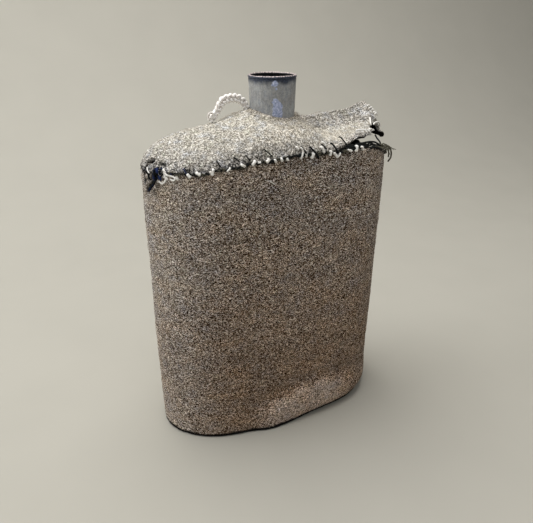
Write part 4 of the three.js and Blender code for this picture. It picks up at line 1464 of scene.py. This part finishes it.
def area_light(name, place, size, power, colour):
    """A soft rectangular lamp, turned towards the middle of the bottle."""
    middle = Vector((0.0, 0.0, 0.1))
    data = bpy.data.lights.new(name, "AREA")
    data.shape = "RECTANGLE"
    data.size, data.size_y = size
    data.energy = power
    data.color = colour
    lamp = link_object(name, data)
    lamp.location = place
    lamp.rotation_euler = (middle - Vector(place)).to_track_quat("-Z", "Y").to_euler()


def camera():
    """Low three-quarter view from the bottle's left front, 25 degrees round and 25 degrees down."""
    heading, down = math.radians(24.96), math.radians(25.09)
    level = math.cos(down)
    forward = Vector((math.sin(heading) * level, math.cos(heading) * level, -math.sin(down)))
    data = bpy.data.cameras.new("camera")
    data.sensor_fit = "HORIZONTAL"
    data.sensor_width = 36.0
    data.lens = 35.7
    data.clip_start = 0.01
    view = link_object("camera", data)
    view.location = (-0.1303, -0.2725, 0.2437)
    view.rotation_euler = forward.to_track_quat("-Z", "Y").to_euler()
    bpy.context.scene.camera = view


def lighting():
    """A dim, even surround with three soft lamps."""
    world = bpy.data.worlds.new("studio")
    world.use_nodes = True
    background = world.node_tree.nodes["Background"]
    background.inputs["Color"].default_value = (1.0, 0.99, 0.96, 1.0)
    background.inputs["Strength"].default_value = 0.30
    bpy.context.scene.world = world
    area_light("overhead", (-0.15, 0.15, 1.1), (1.0, 1.0), 15.0, (1.0, 0.99, 0.97))
    area_light("left_window", (-1.1, 0.35, 0.5), (0.8, 0.8), 5.5, (0.97, 0.99, 1.0))
    area_light("front_fill", (0.3, -1.3, 0.8), (1.0, 0.8), 2.0, (1.0, 0.98, 0.95))


# ---------------------------------------------------------------- assembly

def build():
    """Every piece of the bottle, with its material."""
    wall_felt = wall_felt_material()
    top_felt = top_felt_material()
    white = thread_material("white_cotton", (0.97, 0.96, 0.93), (0.74, 0.72, 0.68), (0.42, 0.37, 0.30))
    dark = dark_thread_material("dark_cotton", 0.68)
    navy = dark_thread_material("navy_cotton", 0.47)
    cord_cotton = thread_material("cord_cotton", (1.0, 0.985, 0.97), (0.80, 0.76, 0.72), (0.52, 0.43, 0.37))
    wool = thread_material("wool_fibre", (0.50, 0.45, 0.38), (0.16, 0.12, 0.09), (0.70, 0.66, 0.60))
    frayed = thread_material(
        "frayed_wool", (0.17, 0.158, 0.118), (0.016, 0.015, 0.011), (0.004, 0.004, 0.004)
    )
    steel = hidden_steel_material()

    wall = felt_wall(wall_felt)
    top = felt_top(top_felt)
    felt_base(wall_felt)
    neck(neck_material())
    steel_shoulder(steel)
    for node in ("flask_wall", "flask_base_pan"):
        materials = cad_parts[node].data.materials
        materials.clear()
        materials.append(steel)

    front_white_stitches(white)
    front_dark_stitches(dark)
    front_fringe(frayed)
    back_rng = np.random.default_rng(SEED + 2)
    back_shoulder_stitches(back_rng, white)
    back_seam_stitches(back_rng, white)
    base_stitches(white)
    left_darning(navy)
    left_loops(white)
    right_corner(dark, white, frayed)
    cord(cord_cotton)
    lint(white)
    fuzz(wall, 4200, "wall_wool_fibres", wool, SEED + 5, -0.9)
    fuzz(top, 1500, "top_wool_fibres", wool, SEED + 6, -0.2)

build()
stage((0.40, 0.385, 0.34))
lighting()
camera()
bpy.context.scene.view_settings.view_transform = "Standard"
bpy.context.scene.cycles.denoising_prefilter = "NONE"
